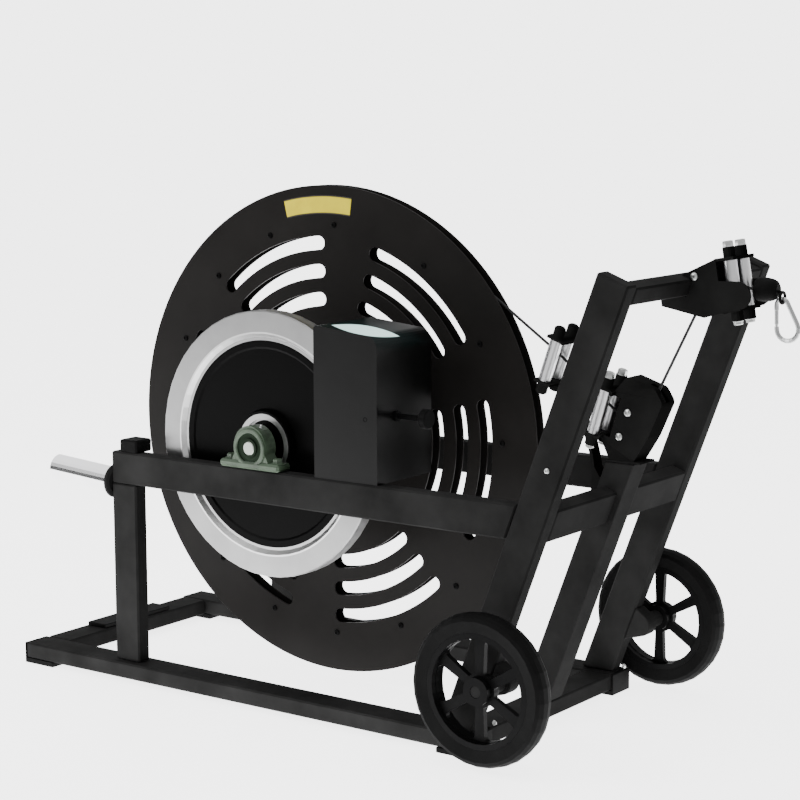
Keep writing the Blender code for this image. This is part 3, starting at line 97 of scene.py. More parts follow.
class Surface:
    """A procedural material, put together node by node."""

    def __init__(self, name):
        self.material = bpy.data.materials.new(name)
        self.material.use_nodes = True
        self.tree = self.material.node_tree
        self.shader = self.tree.nodes["Principled BSDF"]
        self.place = self.add("ShaderNodeTexCoord").outputs["Object"]

    def add(self, kind, **values):
        node = self.tree.nodes.new(kind)
        for key, value in values.items():
            setattr(node, key, value)
        return node

    def link(self, output, socket):
        self.tree.links.new(output, socket)

    def fixed(self, **sockets):
        """Set plain values on the shader's own sockets."""
        for name, value in sockets.items():
            self.shader.inputs[name.replace("_", " ")].default_value = value
        return self

    def colour(self, value):
        self.link(value, self.shader.inputs["Base Color"])

    def roughness(self, value):
        self.link(value, self.shader.inputs["Roughness"])

    def metallic(self, value):
        self.link(value, self.shader.inputs["Metallic"])

    def glow(self, value):
        self.link(value, self.shader.inputs["Emission Color"])

    def bump(self, height, distance, strength):
        """Raise and sink the surface's look by a height."""
        node = self.add("ShaderNodeBump")
        node.inputs["Distance"].default_value = distance
        node.inputs["Strength"].default_value = strength
        self.link(height, node.inputs["Height"])
        self.link(node.outputs[0], self.shader.inputs["Normal"])
        return self

    def noise(self, scale, detail=3.0, rough=0.55, stretch=(1.0, 1.0, 1.0)):
        """A cloudy value by the place on the object."""
        mapping = self.add("ShaderNodeMapping")
        mapping.inputs["Scale"].default_value = stretch
        self.link(self.place, mapping.inputs["Vector"])
        noise = self.add("ShaderNodeTexNoise")
        noise.inputs["Scale"].default_value = scale
        noise.inputs["Detail"].default_value = detail
        noise.inputs["Roughness"].default_value = rough
        self.link(mapping.outputs[0], noise.inputs["Vector"])
        return noise.outputs[0]

    def ramp(self, value, *stops):
        """Colours by a value, from stops of (place, colour)."""
        ramp = self.add("ShaderNodeValToRGB")
        elements = ramp.color_ramp.elements
        while len(elements) < len(stops):
            elements.new(0.5)
        for element, (place, colour) in zip(elements, stops):
            element.position = place
            element.color = (*colour, 1.0)
        self.link(value, ramp.inputs[0])
        return ramp.outputs[0]

    def tints(self, value, colour, *stops):
        """Lighter and darker tints of a colour by a value, from stops of (place, factor)."""
        return self.ramp(value, *[(place, tint(colour, factor)) for place, factor in stops])

    def span(self, value, low, high, start=0.0, end=1.0):
        """Stretch a value's range from start to end over low to high."""
        node = self.add("ShaderNodeMapRange")
        node.inputs["From Min"].default_value = start
        node.inputs["From Max"].default_value = end
        node.inputs["To Min"].default_value = low
        node.inputs["To Max"].default_value = high
        self.link(value, node.inputs["Value"])
        return node.outputs[0]

    def rise(self, value, start, end):
        """0 up to the start and 1 from the end on."""
        return self.span(value, 0.0, 1.0, start, end)

    def fall(self, value, start, end):
        """1 up to the start and 0 from the end on."""
        return self.span(value, 1.0, 0.0, start, end)

    def calc(self, kind, first, second=0.0):
        """One step of arithmetic with values of nodes or plain numbers."""
        node = self.add("ShaderNodeMath", operation=kind)
        for socket, value in zip(node.inputs, (first, second)):
            if isinstance(value, float):
                socket.default_value = value
            else:
                self.link(value, socket)
        return node.outputs[0]

    def mix(self, factor, first, second):
        """The first colour where the factor is 0 and the second where it is 1."""
        node = self.add("ShaderNodeMix", data_type="RGBA")
        self.link(factor, node.inputs[0])
        for socket, value in ((node.inputs[6], first), (node.inputs[7], second)):
            if isinstance(value, tuple):
                socket.default_value = (*value, 1.0)
            else:
                self.link(value, socket)
        return node.outputs[2]

    def parts(self, vector):
        """A vector's X, Y and Z."""
        node = self.add("ShaderNodeSeparateXYZ")
        self.link(vector, node.inputs[0])
        return node.outputs

    def normal(self):
        """The X, Y and Z of the direction in which the surface looks."""
        return self.parts(self.add("ShaderNodeNewGeometry").outputs["Normal"])

    def radius(self):
        """How far a place lies from the axle's line."""
        place = self.parts(self.place)
        x = self.calc("SUBTRACT", place[0], AXLE.x)
        z = self.calc("SUBTRACT", place[2], AXLE.z)
        return self.calc("SQRT", self.calc("ADD", self.calc("MULTIPLY", x, x), self.calc("MULTIPLY", z, z)))

    def measure(self, start, direction):
        """How far a place lies from a start along a direction."""
        node = self.add("ShaderNodeVectorMath", operation="DOT_PRODUCT")
        node.inputs[1].default_value = direction
        self.link(self.place, node.inputs[0])
        return self.calc("SUBTRACT", node.outputs["Value"], Vector(start).dot(direction))


def tint(colour, factor):
    """A colour made darker or lighter by a factor."""
    return tuple(min(1.0, share * factor) for share in colour)


def grey(level):
    return (level, level, level)


def powder_coat(name, colour, rough=0.58, front=0.5, shine=0.008):
    """Powder coat, with painted shade: darker by a factor on the faces that look forward."""
    s = Surface(name)
    cloud = s.noise(11.0, detail=4.0)
    # Painted shade: faces that look forward take a darker copy of the coat.
    forward = s.rise(s.normal()[0], 0.3, 0.9)
    plain_and_shaded_coats = [s.tints(cloud, colour, (0.3, 0.65 * share), (0.55, share), (0.8, 1.35 * share))
             for share in (1.0, front)]
    s.colour(s.mix(forward, *plain_and_shaded_coats))
    s.roughness(s.span(s.noise(60.0, detail=4.0), rough - 0.07, rough + 0.09))
    s.bump(s.noise(420.0, detail=2.0), 0.00012, 0.6)
    return s.fixed(Specular_IOR_Level=shine).material


def satin_sheet(name, colour):
    """Satin paint on sheet steel."""
    s = Surface(name)
    s.colour(s.tints(s.noise(5.0, detail=5.0), colour, (0.3, 0.7), (0.6, 1.0), (0.85, 1.5)))
    s.roughness(s.span(s.noise(24.0, detail=5.0), 0.27, 0.42))
    s.bump(s.noise(700.0, detail=2.0), 0.00005, 0.5)
    return s.fixed(Specular_IOR_Level=0.05).material


def turned_metal(name, colour, rough, lip=None):
    """Bright metal with the fine rings of a lathe tool about the axle, brighter inside a lip's radius."""
    s = Surface(name)
    distance = s.radius()
    ring = s.add("ShaderNodeTexNoise", noise_dimensions="1D")
    ring.inputs["Scale"].default_value = 2600.0
    ring.inputs["Detail"].default_value = 2.0
    s.link(distance, ring.inputs["W"])
    plain = s.tints(s.noise(14.0, detail=4.0), colour, (0.3, 0.88), (0.55, 1.0), (0.8, 1.08))
    if lip:
        plain = s.mix(s.fall(distance, lip, lip + 0.0006), plain, tint(colour, 2.0))
    s.colour(plain)
    s.roughness(s.span(ring.outputs[0], rough - 0.08, rough + 0.12))
    s.bump(ring.outputs[0], 0.00003, 0.5)
    return s.fixed(Metallic=1.0, Anisotropic=0.3).material


def bright_metal(name, colour, rough):
    """Plated or ground metal with faint scratches."""
    s = Surface(name)
    scratch = s.noise(160.0, detail=5.0, rough=0.7)
    s.colour(s.tints(s.noise(18.0), colour, (0.3, 0.9), (0.6, 1.0), (0.85, 1.06)))
    s.roughness(s.span(scratch, rough - 0.07, rough + 0.12))
    s.bump(scratch, 0.00003, 0.3)
    return s.fixed(Metallic=1.0).material


def rolled_metal(name, colour, rough):
    """Smooth plate, worn a little by the rope."""
    s = Surface(name)
    wear = s.noise(30.0, detail=1.0)
    s.colour(s.tints(wear, colour, (0.3, 0.92), (0.7, 1.0)))
    s.roughness(s.span(wear, rough - 0.02, rough + 0.03))
    return s.fixed(Metallic=1.0).material


def moulded(name, colour, rough, grain=0.0002):
    """Moulded rubber or plastic with a fine texture and lighter patches of dust here and there."""
    s = Surface(name)
    s.colour(s.tints(s.noise(16.0, detail=5.0), colour, (0.3, 0.75), (0.55, 1.0), (0.85, 1.7)))
    s.roughness(s.span(s.noise(90.0), rough - 0.08, rough + 0.1))
    s.bump(s.noise(900.0, detail=2.0), grain, 0.35)
    return s.fixed(Specular_IOR_Level=0.05).material


def enamel(name, colour):
    """Enamel over a cast surface: soft dimples, with patches of grime here and there."""
    s = Surface(name)
    grime = s.noise(32.0, detail=4.0)
    s.colour(s.tints(grime, colour, (0.32, 0.45), (0.5, 1.0), (0.8, 1.35)))
    s.roughness(s.span(grime, 0.30, 0.52))
    return s.bump(s.noise(130.0, detail=5.0, rough=0.6), 0.0005, 0.5).material


def braid(name, colour):
    """Rope cover: strands that cross on a slant, by the tube's own length and turn."""
    s = Surface(name)
    tube = s.parts(s.add("ShaderNodeUVMap").outputs[0])
    strands = []
    for slope in (4.0, -4.0):
        slant = s.calc("ADD", tube[0], s.calc("MULTIPLY", tube[1], slope))
        strands.append(s.calc("SINE", s.calc("MULTIPLY", slant, math.tau)))
    height = s.rise(s.calc("MAXIMUM", *strands), -1.0, 1.0)
    s.colour(s.tints(height, colour, (0.35, 0.35), (0.75, 1.0), (1.0, 1.8)))
    s.roughness(s.span(s.noise(600.0, detail=2.0), 0.65, 0.9))
    return s.bump(height, 0.0004, 0.7).material


def cover_paint():
    """Dark glossy cover with painted light: its near side painted greyer as lit, and a painted highlight, a
    thin pale glowing glint across its top edge in a dark teal painted halo.
    """
    s = Surface("brake_cover_paint")
    sideways = s.normal()[1]
    # Painted light: the near side gets a greyer copy of the dark coat.
    body = s.mix(s.fall(sideways, -0.9, -0.4), grey(0.0022), grey(0.0050))
    # Painted highlight: a pale glowing bow between the glint's two tips, with a broader dark teal painted
    # halo round it, both off the near side.
    way = s.calc("MULTIPLY", s.measure(GLINT_START, GLINT_ALONG), 1.0 / GLINT_LENGTH)
    bow = s.calc("MULTIPLY", s.calc("MULTIPLY", way, s.calc("SUBTRACT", 1.0, way)), 4.0)
    aside = s.calc("ABSOLUTE", s.measure(GLINT_START, GLINT_ACROSS))
    edge = s.calc("SUBTRACT", s.calc("MULTIPLY", bow, GLINT_HALF), aside)
    off_side = s.rise(sideways, -0.9, -0.6)
    glint = s.calc("MULTIPLY", s.rise(edge, -0.0004, 0.0008), off_side)
    halo = s.calc("MULTIPLY", s.rise(edge, -0.028, 0.0), off_side)
    s.colour(s.mix(glint, s.mix(halo, body, GLINT_HALO), GLINT_WHITE))
    s.glow(s.mix(glint, NO_LIGHT, GLINT_WHITE))
    s.roughness(s.span(s.noise(30.0, detail=4.0), 0.26, 0.36))
    s.bump(s.noise(420.0, detail=2.0), 0.00004, 0.4)
    return s.fixed(Emission_Strength=0.9, Specular_IOR_Level=0.15).material


def horn_plate(side):
    """Bright plate on a weight horn's sleeve with a painted highlight, a glow on its upper side, and black
    paint on its flange.
    """
    s = Surface(f"horn_plate_{side}")
    bare = s.rise(s.measure(HORN_ROOT, HORN_ALONG), HORN_FLANGE, HORN_FLANGE + 0.0002)
    scratch = s.noise(160.0, detail=5.0, rough=0.7, stretch=(1.0, 1.0, 12.0))
    plate = s.ramp(s.noise(18.0), (0.3, (0.90, 0.90, 0.91)), (0.8, (0.96, 0.96, 0.97)))
    s.colour(s.mix(bare, BLACK, plate))
    s.metallic(bare)
    # Painted highlight: the bare sleeve's upper side glows pale grey.
    painted_top_glow = s.calc("MULTIPLY", s.rise(s.normal()[2], 0.25, 0.65), bare)
    s.glow(s.mix(painted_top_glow, NO_LIGHT, (0.60, 0.60, 0.61)))
    s.roughness(s.mix(bare, grey(0.45), s.span(scratch, 0.09, 0.15)))
    s.bump(scratch, 0.00003, 0.3)
    return s.fixed(Emission_Strength=1.7, Specular_IOR_Level=0.02).material


def core_paint():
    """Black paint on the flywheel's core, with its hub ring and the edge of its rim left bright."""
    s = Surface("core_paint")
    distance = s.radius()
    hub_ring = (0.0445, 0.0565)
    rim_edge = (0.1880, 0.1940)
    blend = 0.0003
    bands = [s.calc("MULTIPLY", s.rise(distance, low - blend, low), s.fall(distance, high, high + blend))
             for low, high in (hub_ring, rim_edge)]
    bare = s.calc("ADD", *bands)
    coat = s.ramp(s.noise(5.0, detail=5.0), (0.3, grey(0.0009)), (0.6, grey(0.0013)), (0.85, grey(0.0020)))
    s.colour(s.mix(bare, coat, grey(0.40)))
    s.metallic(bare)
    s.roughness(s.mix(bare, grey(0.36), s.span(s.noise(24.0, detail=5.0), 0.26, 0.40)))
    s.bump(s.noise(700.0, detail=2.0), 0.00005, 0.5)
    return s.fixed(Specular_IOR_Level=0.04).material


# Finishes of the solids and of the scene's own pieces.
BLACK = (0.0210, 0.0209, 0.0207)
FRAME = powder_coat("black_powder_coat", BLACK)
# Painted shade: the guides' forward faces are painted darker than the frame's.
GUIDE = powder_coat("black_guide_coat", (0.0130, 0.0130, 0.0128), rough=0.5, front=0.3, shine=0.0)
DISC = satin_sheet("black_satin_sheet", (0.0128, 0.0118, 0.0112))
RING = turned_metal("turned_flywheel_steel", grey(0.34), rough=0.34, lip=0.2030)
HUB = turned_metal("turned_hub_steel", grey(0.66), rough=0.26)
STEEL = bright_metal("ground_steel", (0.55, 0.56, 0.56), rough=0.28)
CHROME = rolled_metal("chrome_plate", (0.84, 0.84, 0.85), rough=0.31)
ZINC = bright_metal("zinc_plate", (0.62, 0.63, 0.62), rough=0.30)
GREEN = enamel("green_enamel", (0.055, 0.085, 0.052))
# Painted shade: the bearings sit in the blocks' dark recesses and are painted nearly black, with a green
# tinge.
SHADED_RACE = bright_metal("bearing_steel_in_painted_shade", (0.012, 0.020, 0.012), rough=0.45)
SHAFT = turned_metal("turned_shaft_steel", (0.44, 0.48, 0.43), rough=0.30)
RUBBER = moulded("black_rubber", grey(0.0045), rough=0.62)
TYRE = moulded("tyre_rubber", grey(0.0046), rough=0.6, grain=0.0003)
PLASTIC = moulded("black_plastic", (0.0036, 0.0036, 0.0037), rough=0.45, grain=0.0001)
MAGNET = bright_metal("grey_magnet_steel", (0.22, 0.22, 0.23), rough=0.42)
BOLT = powder_coat("black_bolt", grey(0.008), rough=0.36)
ROPE = braid("rope_braid", (0.012, 0.012, 0.013))


def paint(material, *names):
    """Give solids a finish all over."""
    for name in names:
        slots = nodes[name].data.materials
        for n in range(len(slots)):
            slots[n] = material
        if not slots:
            slots.append(material)


def both(*names):
    """The names of pieces that are there on each side."""
    return [f"{name}_{side}" for name in names for _, side in SIDES]


paint(FRAME, *both("base_rail", "rear_post", "top_rail", "front_post", "mid_beam", "wheel_bracket"),
      "base_cross_rear", "base_cross_front", "center_post", "top_cross_bar", "spool_drum")
paint(GUIDE, "top_pulley_box")
paint(RUBBER, *both("foot_rear", "foot_front", "rail_bumper"), "rope_stopper", "cross_pad")
for _, side in SIDES:
    paint(horn_plate(side), "weight_horn_" + side)
paint(GREEN, *both("pillow_block"))
paint(SHAFT, "axle_shaft")
paint(STEEL, "hook_body", "hook_gate")
# The bearing rings are painted nearly black as painted shade.
paint(SHADED_RACE, *both("bearing_ring"))
paint(RING, "flywheel_ring")
paint(core_paint(), "flywheel_core")
paint(HUB, "spool_hub")
paint(cover_paint(), "brake_housing")
paint(MAGNET, "magnet_carrier")
paint(PLASTIC, "mid_pulley", "top_pulley", "brake_knob", *both("wheel_center"))
paint(TYRE, *both("wheel_tyre"))


def add_piece(name, bm, material, body, slot_name):
    """Turn a mesh into a shown piece that rides on one of the part's bodies."""
    mesh = bpy.data.meshes.new(name)
    bm.to_mesh(mesh)
    bm.free()
    mesh.shade_smooth()
    mesh.set_sharp_from_angle(angle=SHARP_ANGLE)
    mesh.materials.append(material)
    obj = bpy.data.objects.new(name, mesh)
    bpy.context.scene.collection.objects.link(obj)
    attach(obj, body)
    return obj


def orient(bm):
    """Turn all faces outward."""
    bmesh.ops.recalc_face_normals(bm, faces=bm.faces)
    return bm


def final_mesh(shape):
    """An object's mesh with its bevel or its cuts worked out."""
    bpy.context.view_layer.update()
    return bpy.data.meshes.new_from_object(shape.evaluated_get(bpy.context.evaluated_depsgraph_get()))


def polar(radius, turn):
    """The two flat coordinates of a place at a distance and a turn."""
    return radius * math.cos(turn), radius * math.sin(turn)


def by_axle(radius, turn, y):
    """A place at a distance and a turn about the axle's line."""
    x, z = polar(radius, turn)
    return AXLE + Vector((x, y, z))


def facing(place, direction):
    """Axes at a place whose Z points in a direction."""
    return Matrix.Translation(place) @ Vector(direction).to_track_quat("Z", "Y").to_matrix().to_4x4()


def guide_axes(tag):
    """A roller guide's own axes, with Z along its rollers."""
    x, z, lean, _ = GUIDES[tag]
    return Matrix.Translation(at(x, 0.0, z)) @ Matrix.Rotation(lean, 4, "Y")


def revolve(bm, profile, steps, matrix, closed=False):
    """Turn a profile of (radius, height) about the matrix's Z, and close its two ends."""
    rings = []
    for radius, height in profile:
        places = [polar(radius, math.tau * n / steps) for n in range(steps)]
        rings.append([bm.verts.new(matrix @ Vector((x, y, height))) for x, y in places])
    pairs = list(zip(rings, rings[1:]))
    if closed:
        pairs.append((rings[-1], rings[0]))
    for low, high in pairs:
        for n in range(steps):
            m = (n + 1) % steps
            bm.faces.new((low[n], low[m], high[m], high[n]))
    if not closed:
        bm.faces.new(list(reversed(rings[0])))
        bm.faces.new(rings[-1])


def hex_head(bm, matrix, across, height, washer):
    """A hexagon head with a chamfered top, on a washer of a given radius."""
    seat = 0.0013
    revolve(bm, [(washer, 0.0), (washer, seat - 0.0004), (washer - 0.0004, seat)], 20, matrix)
    corner = across / 2 / math.cos(math.pi / 6)
    chamfer = [(corner, seat), (corner, seat + height * 0.82), (corner * 0.86, seat + height)]
    revolve(bm, chamfer, 6, matrix)
    crown = across * 0.36
    revolve(bm, [(crown, seat + height * 0.9), (crown, seat + height * 1.04)], 16, matrix)


def button_head(bm, matrix, radius, height):
    """A domed head with a socket in it."""
    dome = []
    for angle in (0, 20, 40, 58):
        out, lift = polar(1.0, math.radians(angle))
        dome.append((radius * out, height * (0.25 + 0.75 * lift)))
    socket = radius * 0.45
    revolve(bm, [(radius, 0.0)] + dome + [(socket, height * 0.94), (socket, height * 0.45)], 16, matrix)


# The spool's discs: their outer face and half thickness, their broken edge, rim, bore and slots.
DISC_FACE = 0.013
DISC_HALF = 0.0015
DISC_EDGE = 0.0003
DISC_RADIUS = 0.456
DISC_BORE = 0.0403
SLOT_RADII = (0.246, 0.298, 0.350)
SLOT_CENTERS = (113, 53, -7, -67, -127, 173)
SLOT_SPAN = math.radians(43.0)
SLOT_HALF = 0.013
SLOT_STEPS = 24
SLOT_END_STEPS = 12


def circle(radius, count):
    """Evenly spaced places round a circle."""
    return [polar(radius, math.tau * n / count) for n in range(count)]


def slot_points(radius, center):
    """A round-ended slot bent about the axle, with its middle at a turn in degrees."""
    span = SLOT_SPAN / 2 - SLOT_HALF / radius
    start = math.radians(center) - span
    end = math.radians(center) + span
    points = []
    for reach, first, last in ((radius + SLOT_HALF, start, end), (radius - SLOT_HALF, end, start)):
        for n in range(SLOT_STEPS + 1):
            points.append(polar(reach, first + (last - first) * n / SLOT_STEPS))
        middle = polar(radius, last)
        outward = last if last > first else last + math.pi
        for n in range(1, SLOT_END_STEPS):
            x, z = polar(SLOT_HALF, outward + math.pi * n / SLOT_END_STEPS)
            points.append((middle[0] + x, middle[1] + z))
    return points


def disc_mesh():
    """One disc, filled between its outlines, lying flat about its middle."""
    outlines = [circle(DISC_RADIUS, 192), circle(DISC_BORE, 64)]
    outlines += [slot_points(radius, center) for center in SLOT_CENTERS for radius in SLOT_RADII]
    data = bpy.data.curves.new("disc_outline", "CURVE")
    data.dimensions = "2D"
    data.fill_mode = "BOTH"
    data.extrude = DISC_HALF - DISC_EDGE
    data.bevel_depth = DISC_EDGE
    data.bevel_resolution = 0
    data.offset = -DISC_EDGE
    for outline in outlines:
        spline = data.splines.new("POLY")
        spline.points.add(len(outline) - 1)
        spline.use_cyclic_u = True
        for point, (x, z) in zip(spline.points, outline):
            point.co = (x, z, 0.0, 1.0)
    shape = bpy.data.objects.new("disc_outline", data)
    bpy.context.scene.collection.objects.link(shape)
    mesh = final_mesh(shape)
    bpy.data.objects.remove(shape)
    return mesh


def discs():
    """The spool's two discs, with rounder slots and rims and a fine broken edge."""
    mesh = disc_mesh()
    for side, tag in SIDES:
        bm = bmesh.new()
        bm.from_mesh(mesh)
        bmesh.ops.remove_doubles(bm, verts=bm.verts, dist=0.000001)
        middle = AXLE + Vector((0.0, side * (DISC_FACE - DISC_HALF), 0.0))
        bm.transform(Matrix.Translation(middle) @ Matrix.Rotation(math.pi / 2, 4, "X"))
        piece = add_piece("disc_" + tag, orient(bm), DISC, "rotor", "disc_paint")
        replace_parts(piece, "spool_flange_" + tag)


def cutter(low, high, matrix):
    """A box between two corners, to cut with."""
    bm = bmesh.new()
    bmesh.ops.create_cube(bm, size=1.0)
    size = [b - a for a, b in zip(low, high)]
    middle = Vector([(a + b) / 2 for a, b in zip(low, high)])
    bm.transform(matrix @ Matrix.Translation(middle) @ Matrix.Diagonal((*size, 1.0)))
    mesh = bpy.data.meshes.new("cutter")
    bm.to_mesh(mesh)
    bm.free()
    tool = bpy.data.objects.new("cutter", mesh)
    bpy.context.scene.collection.objects.link(tool)
    return tool


def opened(name, tag, low, high):
    """A guide bracket with its web cut open between the end plates, so that both rollers show."""
    source = nodes[name]
    shape = bpy.data.objects.new(name + "_shape", source.data.copy())
    shape.matrix_world = source.matrix_world.copy()
    bpy.context.scene.collection.objects.link(shape)
    tool = cutter(low, high, guide_axes(tag))
    cut = shape.modifiers.new("cut", "BOOLEAN")
    cut.operation = "DIFFERENCE"
    cut.solver = "EXACT"
    cut.object = tool
    bm = bmesh.new()
    bm.from_mesh(final_mesh(shape))
    bm.transform(shape.matrix_world)
    bpy.data.objects.remove(shape)
    bpy.data.objects.remove(tool)
    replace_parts(add_piece(name + "_opened", bm, GUIDE, "frame", "frame_paint"), name)


# Screws round the discs: their circle and their turns in degrees.
SCREW_CIRCLE = 0.384
SCREW_TURNS = (88, 111, 134, 157, 180, 203, 226, 249, 272, 295, 318, 341, 2, 29, 56)


def disc_screws():
    """Domed screws on the outer faces of both discs."""
    for side, tag in SIDES:
        bm = bmesh.new()
        for angle in SCREW_TURNS:
            place = by_axle(SCREW_CIRCLE, math.radians(angle), side * DISC_FACE)
            button_head(bm, facing(place, (0, side, 0)), 0.0058, 0.0034)
        add_piece("flange_bolts_" + tag, orient(bm), BOLT, "rotor", "disc_paint")


# The yellow plate and the sheet under it: inner and outer radius, first and last turn, thickness.
LABEL_SHEET = (0.4035, 0.4375, 82.9, 103.7, 0.0003)
LABEL_FACE = (0.4055, 0.4355, 83.3, 103.3, 0.0005)
LABEL_BORDER = 0.0007
LABEL_STEPS = 24


def bent_plate(bm, inner, outer, first, last, thickness):
    """A thin plate on the near disc, bent round the axle."""
    columns = range(LABEL_STEPS + 1)
    rings = []
    for depth in (0.0, thickness):
        ring = []
        for radius, order in ((inner, columns), (outer, reversed(columns))):
            for n in order:
                turn = math.radians(first + (last - first) * n / LABEL_STEPS)
                ring.append(bm.verts.new(by_axle(radius, turn, -DISC_FACE - depth)))
        rings.append(ring)
    under, over = rings
    count = len(over)
    for n in range(count):
        m = (n + 1) % count
        bm.faces.new((under[n], under[m], over[m], over[n]))
    for n in range(LABEL_STEPS):
        m = count - 1 - n
        bm.faces.new((over[n], over[n + 1], over[m - 1], over[m]))
        bm.faces.new((under[n], under[m], under[m - 1], under[n + 1]))


def label_paint():
    """Yellow enamel with a dark line along its inner and outer edges."""
    s = Surface("yellow_label")
    distance = s.radius()
    inner, outer = LABEL_FACE[:2]
    border = s.calc("ADD", s.fall(distance, inner, inner + LABEL_BORDER),
                    s.rise(distance, outer - LABEL_BORDER, outer))
    yellows = ((0.3, (0.72, 0.57, 0.0)), (0.6, (0.80, 0.66, 0.0)), (0.8, (0.84, 0.70, 0.002)))
    s.colour(s.mix(border, s.ramp(s.noise(26.0), *yellows), (0.02, 0.016, 0.01)))
    s.roughness(s.span(s.noise(80.0, detail=2.0), 0.3, 0.45))
    return s.material


def label():
    """A bare yellow plate bent round the near disc, with a dark edge."""
    bm = bmesh.new()
    for plate in (LABEL_SHEET, LABEL_FACE):
        bent_plate(bm, *plate)
    add_piece("flange_label", orient(bm), label_paint(), "rotor", "disc_paint")


# The rope and its route: the winding on the spool, the two pulleys and the stopper.
ROPE_RADIUS = 0.0025
ROPE_SHOWN = ROPE_RADIUS * 0.985
ROPE_SIDES = 12
STRANDS_PER_METRE = 260.0
WIND_RADIUS = 0.421
WIND_PITCH = 0.0057
WIND_LOOPS = 2.5
WIND_STEPS = 96
TAIL_LENGTH = 0.080
ROPE_GUIDE = (1.052, 0.6575)
MID_PULLEY = (1.202, 0.570)
TOP_PULLEY = (1.360, 0.777)
PULLEY_ROPE = 0.024
PULLEY_STEP = math.radians(6.0)
STOPPER_REAR = 1.4255
STOPPER_Z = 0.789


def tangent(center, radius, point, side):
    """Where a line from a point touches a circle, on its left for side 1 and its right for -1."""
    offset = Vector(center) - Vector(point)
    heading = math.atan2(offset.y, offset.x) + side * math.asin(radius / offset.length)
    length = math.sqrt(offset.length_squared - radius * radius)
    return Vector(point) + Vector(polar(length, heading))


def round_pulley(center, start, end, clockwise):
    """The rope's points round a pulley, from one place on it to another."""
    first = math.atan2(start.y - center[1], start.x - center[0])
    last = math.atan2(end.y - center[1], end.x - center[0])
    sweep = (last - first) % math.tau
    if clockwise:
        sweep -= math.tau
    steps = max(2, round(abs(sweep) / PULLEY_STEP))
    turns = [first + sweep * n / steps for n in range(steps + 1)]
    return [Vector(center) + Vector(polar(PULLEY_ROPE, turn)) for turn in turns]


def winding_points():
    """The outer turns on the spool and the first stretch after them."""
    leave = tangent((AXLE_X, AXLE_Z), WIND_RADIUS, ROPE_GUIDE, -1)
    leave_turn = math.atan2(leave.y - AXLE_Z, leave.x - AXLE_X)
    leave_y = WIND_PITCH * WIND_LOOPS / 2
    count = round(WIND_STEPS * WIND_LOOPS)
    points = []
    for n in range(count + 1):
        back = (count - n) / WIND_STEPS
        points.append(by_axle(WIND_RADIUS, leave_turn + math.tau * back, leave_y - WIND_PITCH * back))
    heading = (at(ROPE_GUIDE[0], 0.0, ROPE_GUIDE[1]) - points[-1]).normalized()
    return points + [points[-1] + heading * TAIL_LENGTH]


def run_points(tail):
    """The taut run from the winding's tail, under one pulley and over the other, to the stopper."""
    guide = at(ROPE_GUIDE[0], 0.0, ROPE_GUIDE[1])
    stop = (STOPPER_REAR - GAP, STOPPER_Z)
    approach = (stop[0] - 4 * ROPE_RADIUS, STOPPER_Z)
    middle = (Vector(MID_PULLEY) + Vector(TOP_PULLEY)) / 2
    under = tangent(MID_PULLEY, PULLEY_ROPE, ROPE_GUIDE, -1)
    up = tangent(MID_PULLEY, PULLEY_ROPE, middle, 1)
    over = tangent(TOP_PULLEY, PULLEY_ROPE, middle, 1)
    away = tangent(TOP_PULLEY, PULLEY_ROPE, approach, -1)
    flat = round_pulley(MID_PULLEY, under, up, False) + round_pulley(TOP_PULLEY, over, away, True)
    begin = tail + (guide - tail).normalized() * GAP
    return [begin, guide] + [at(x, 0.0, z) for x, z in (*flat, approach, stop)]


def rope_ring(bm, point, heading):
    """A ring of vertices round the rope's middle line."""
    side = heading.cross(Vector((0.0, 1.0, 0.0))).normalized()
    top = side.cross(heading).normalized()
    places = circle(ROPE_SHOWN, ROPE_SIDES)
    return [bm.verts.new(point + side * across + top * lift) for across, lift in places]


def rope_tube(points):
    """A closed round tube along points, with its length and turn kept as UV."""
    bm = bmesh.new()
    layer = bm.loops.layers.uv.new("UVMap")
    rings = []
    lengths = []
    travel = 0.0
    for n, point in enumerate(points):
        before = points[max(0, n - 1)]
        after = points[min(len(points) - 1, n + 1)]
        travel += (point - before).length
        lengths.append(travel)
        rings.append(rope_ring(bm, point, (after - before).normalized()))
    for n, (low, high) in enumerate(zip(rings, rings[1:])):
        for k in range(ROPE_SIDES):
            m = (k + 1) % ROPE_SIDES
            face = bm.faces.new((low[k], low[m], high[m], high[k]))
            for loop, (row, turn) in zip(face.loops, ((n, k), (n, k + 1), (n + 1, k + 1), (n + 1, k))):
                loop[layer].uv = (lengths[row] * STRANDS_PER_METRE, turn / ROPE_SIDES)
    bm.faces.new(list(reversed(rings[0])))
    bm.faces.new(rings[-1])
    return bm


def rope():
    """The rope's outer turns on the spool, and its run to the stopper."""
    winding = winding_points()
    piece = add_piece("rope_turns", orient(rope_tube(winding)), ROPE, "rotor", "rope_fibre")
    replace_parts(piece, "rope_winding")
    run = run_points(winding[-1])
    piece = add_piece("rope_taut", orient(rope_tube(run)), ROPE, "frame", "rope_fibre")
    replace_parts(piece, "rope_run")


# The turns under the outer ones: their ring's radii and half width, its weave across and its ridges.
BED_INNER = 0.3905
BED_OUTER = 0.4133
BED_HALF = 0.0097
BED_WEAVE = 120.0
RIDGES = 4
RIDGE_RISE = 0.0024
RIDGE_STEPS = 5


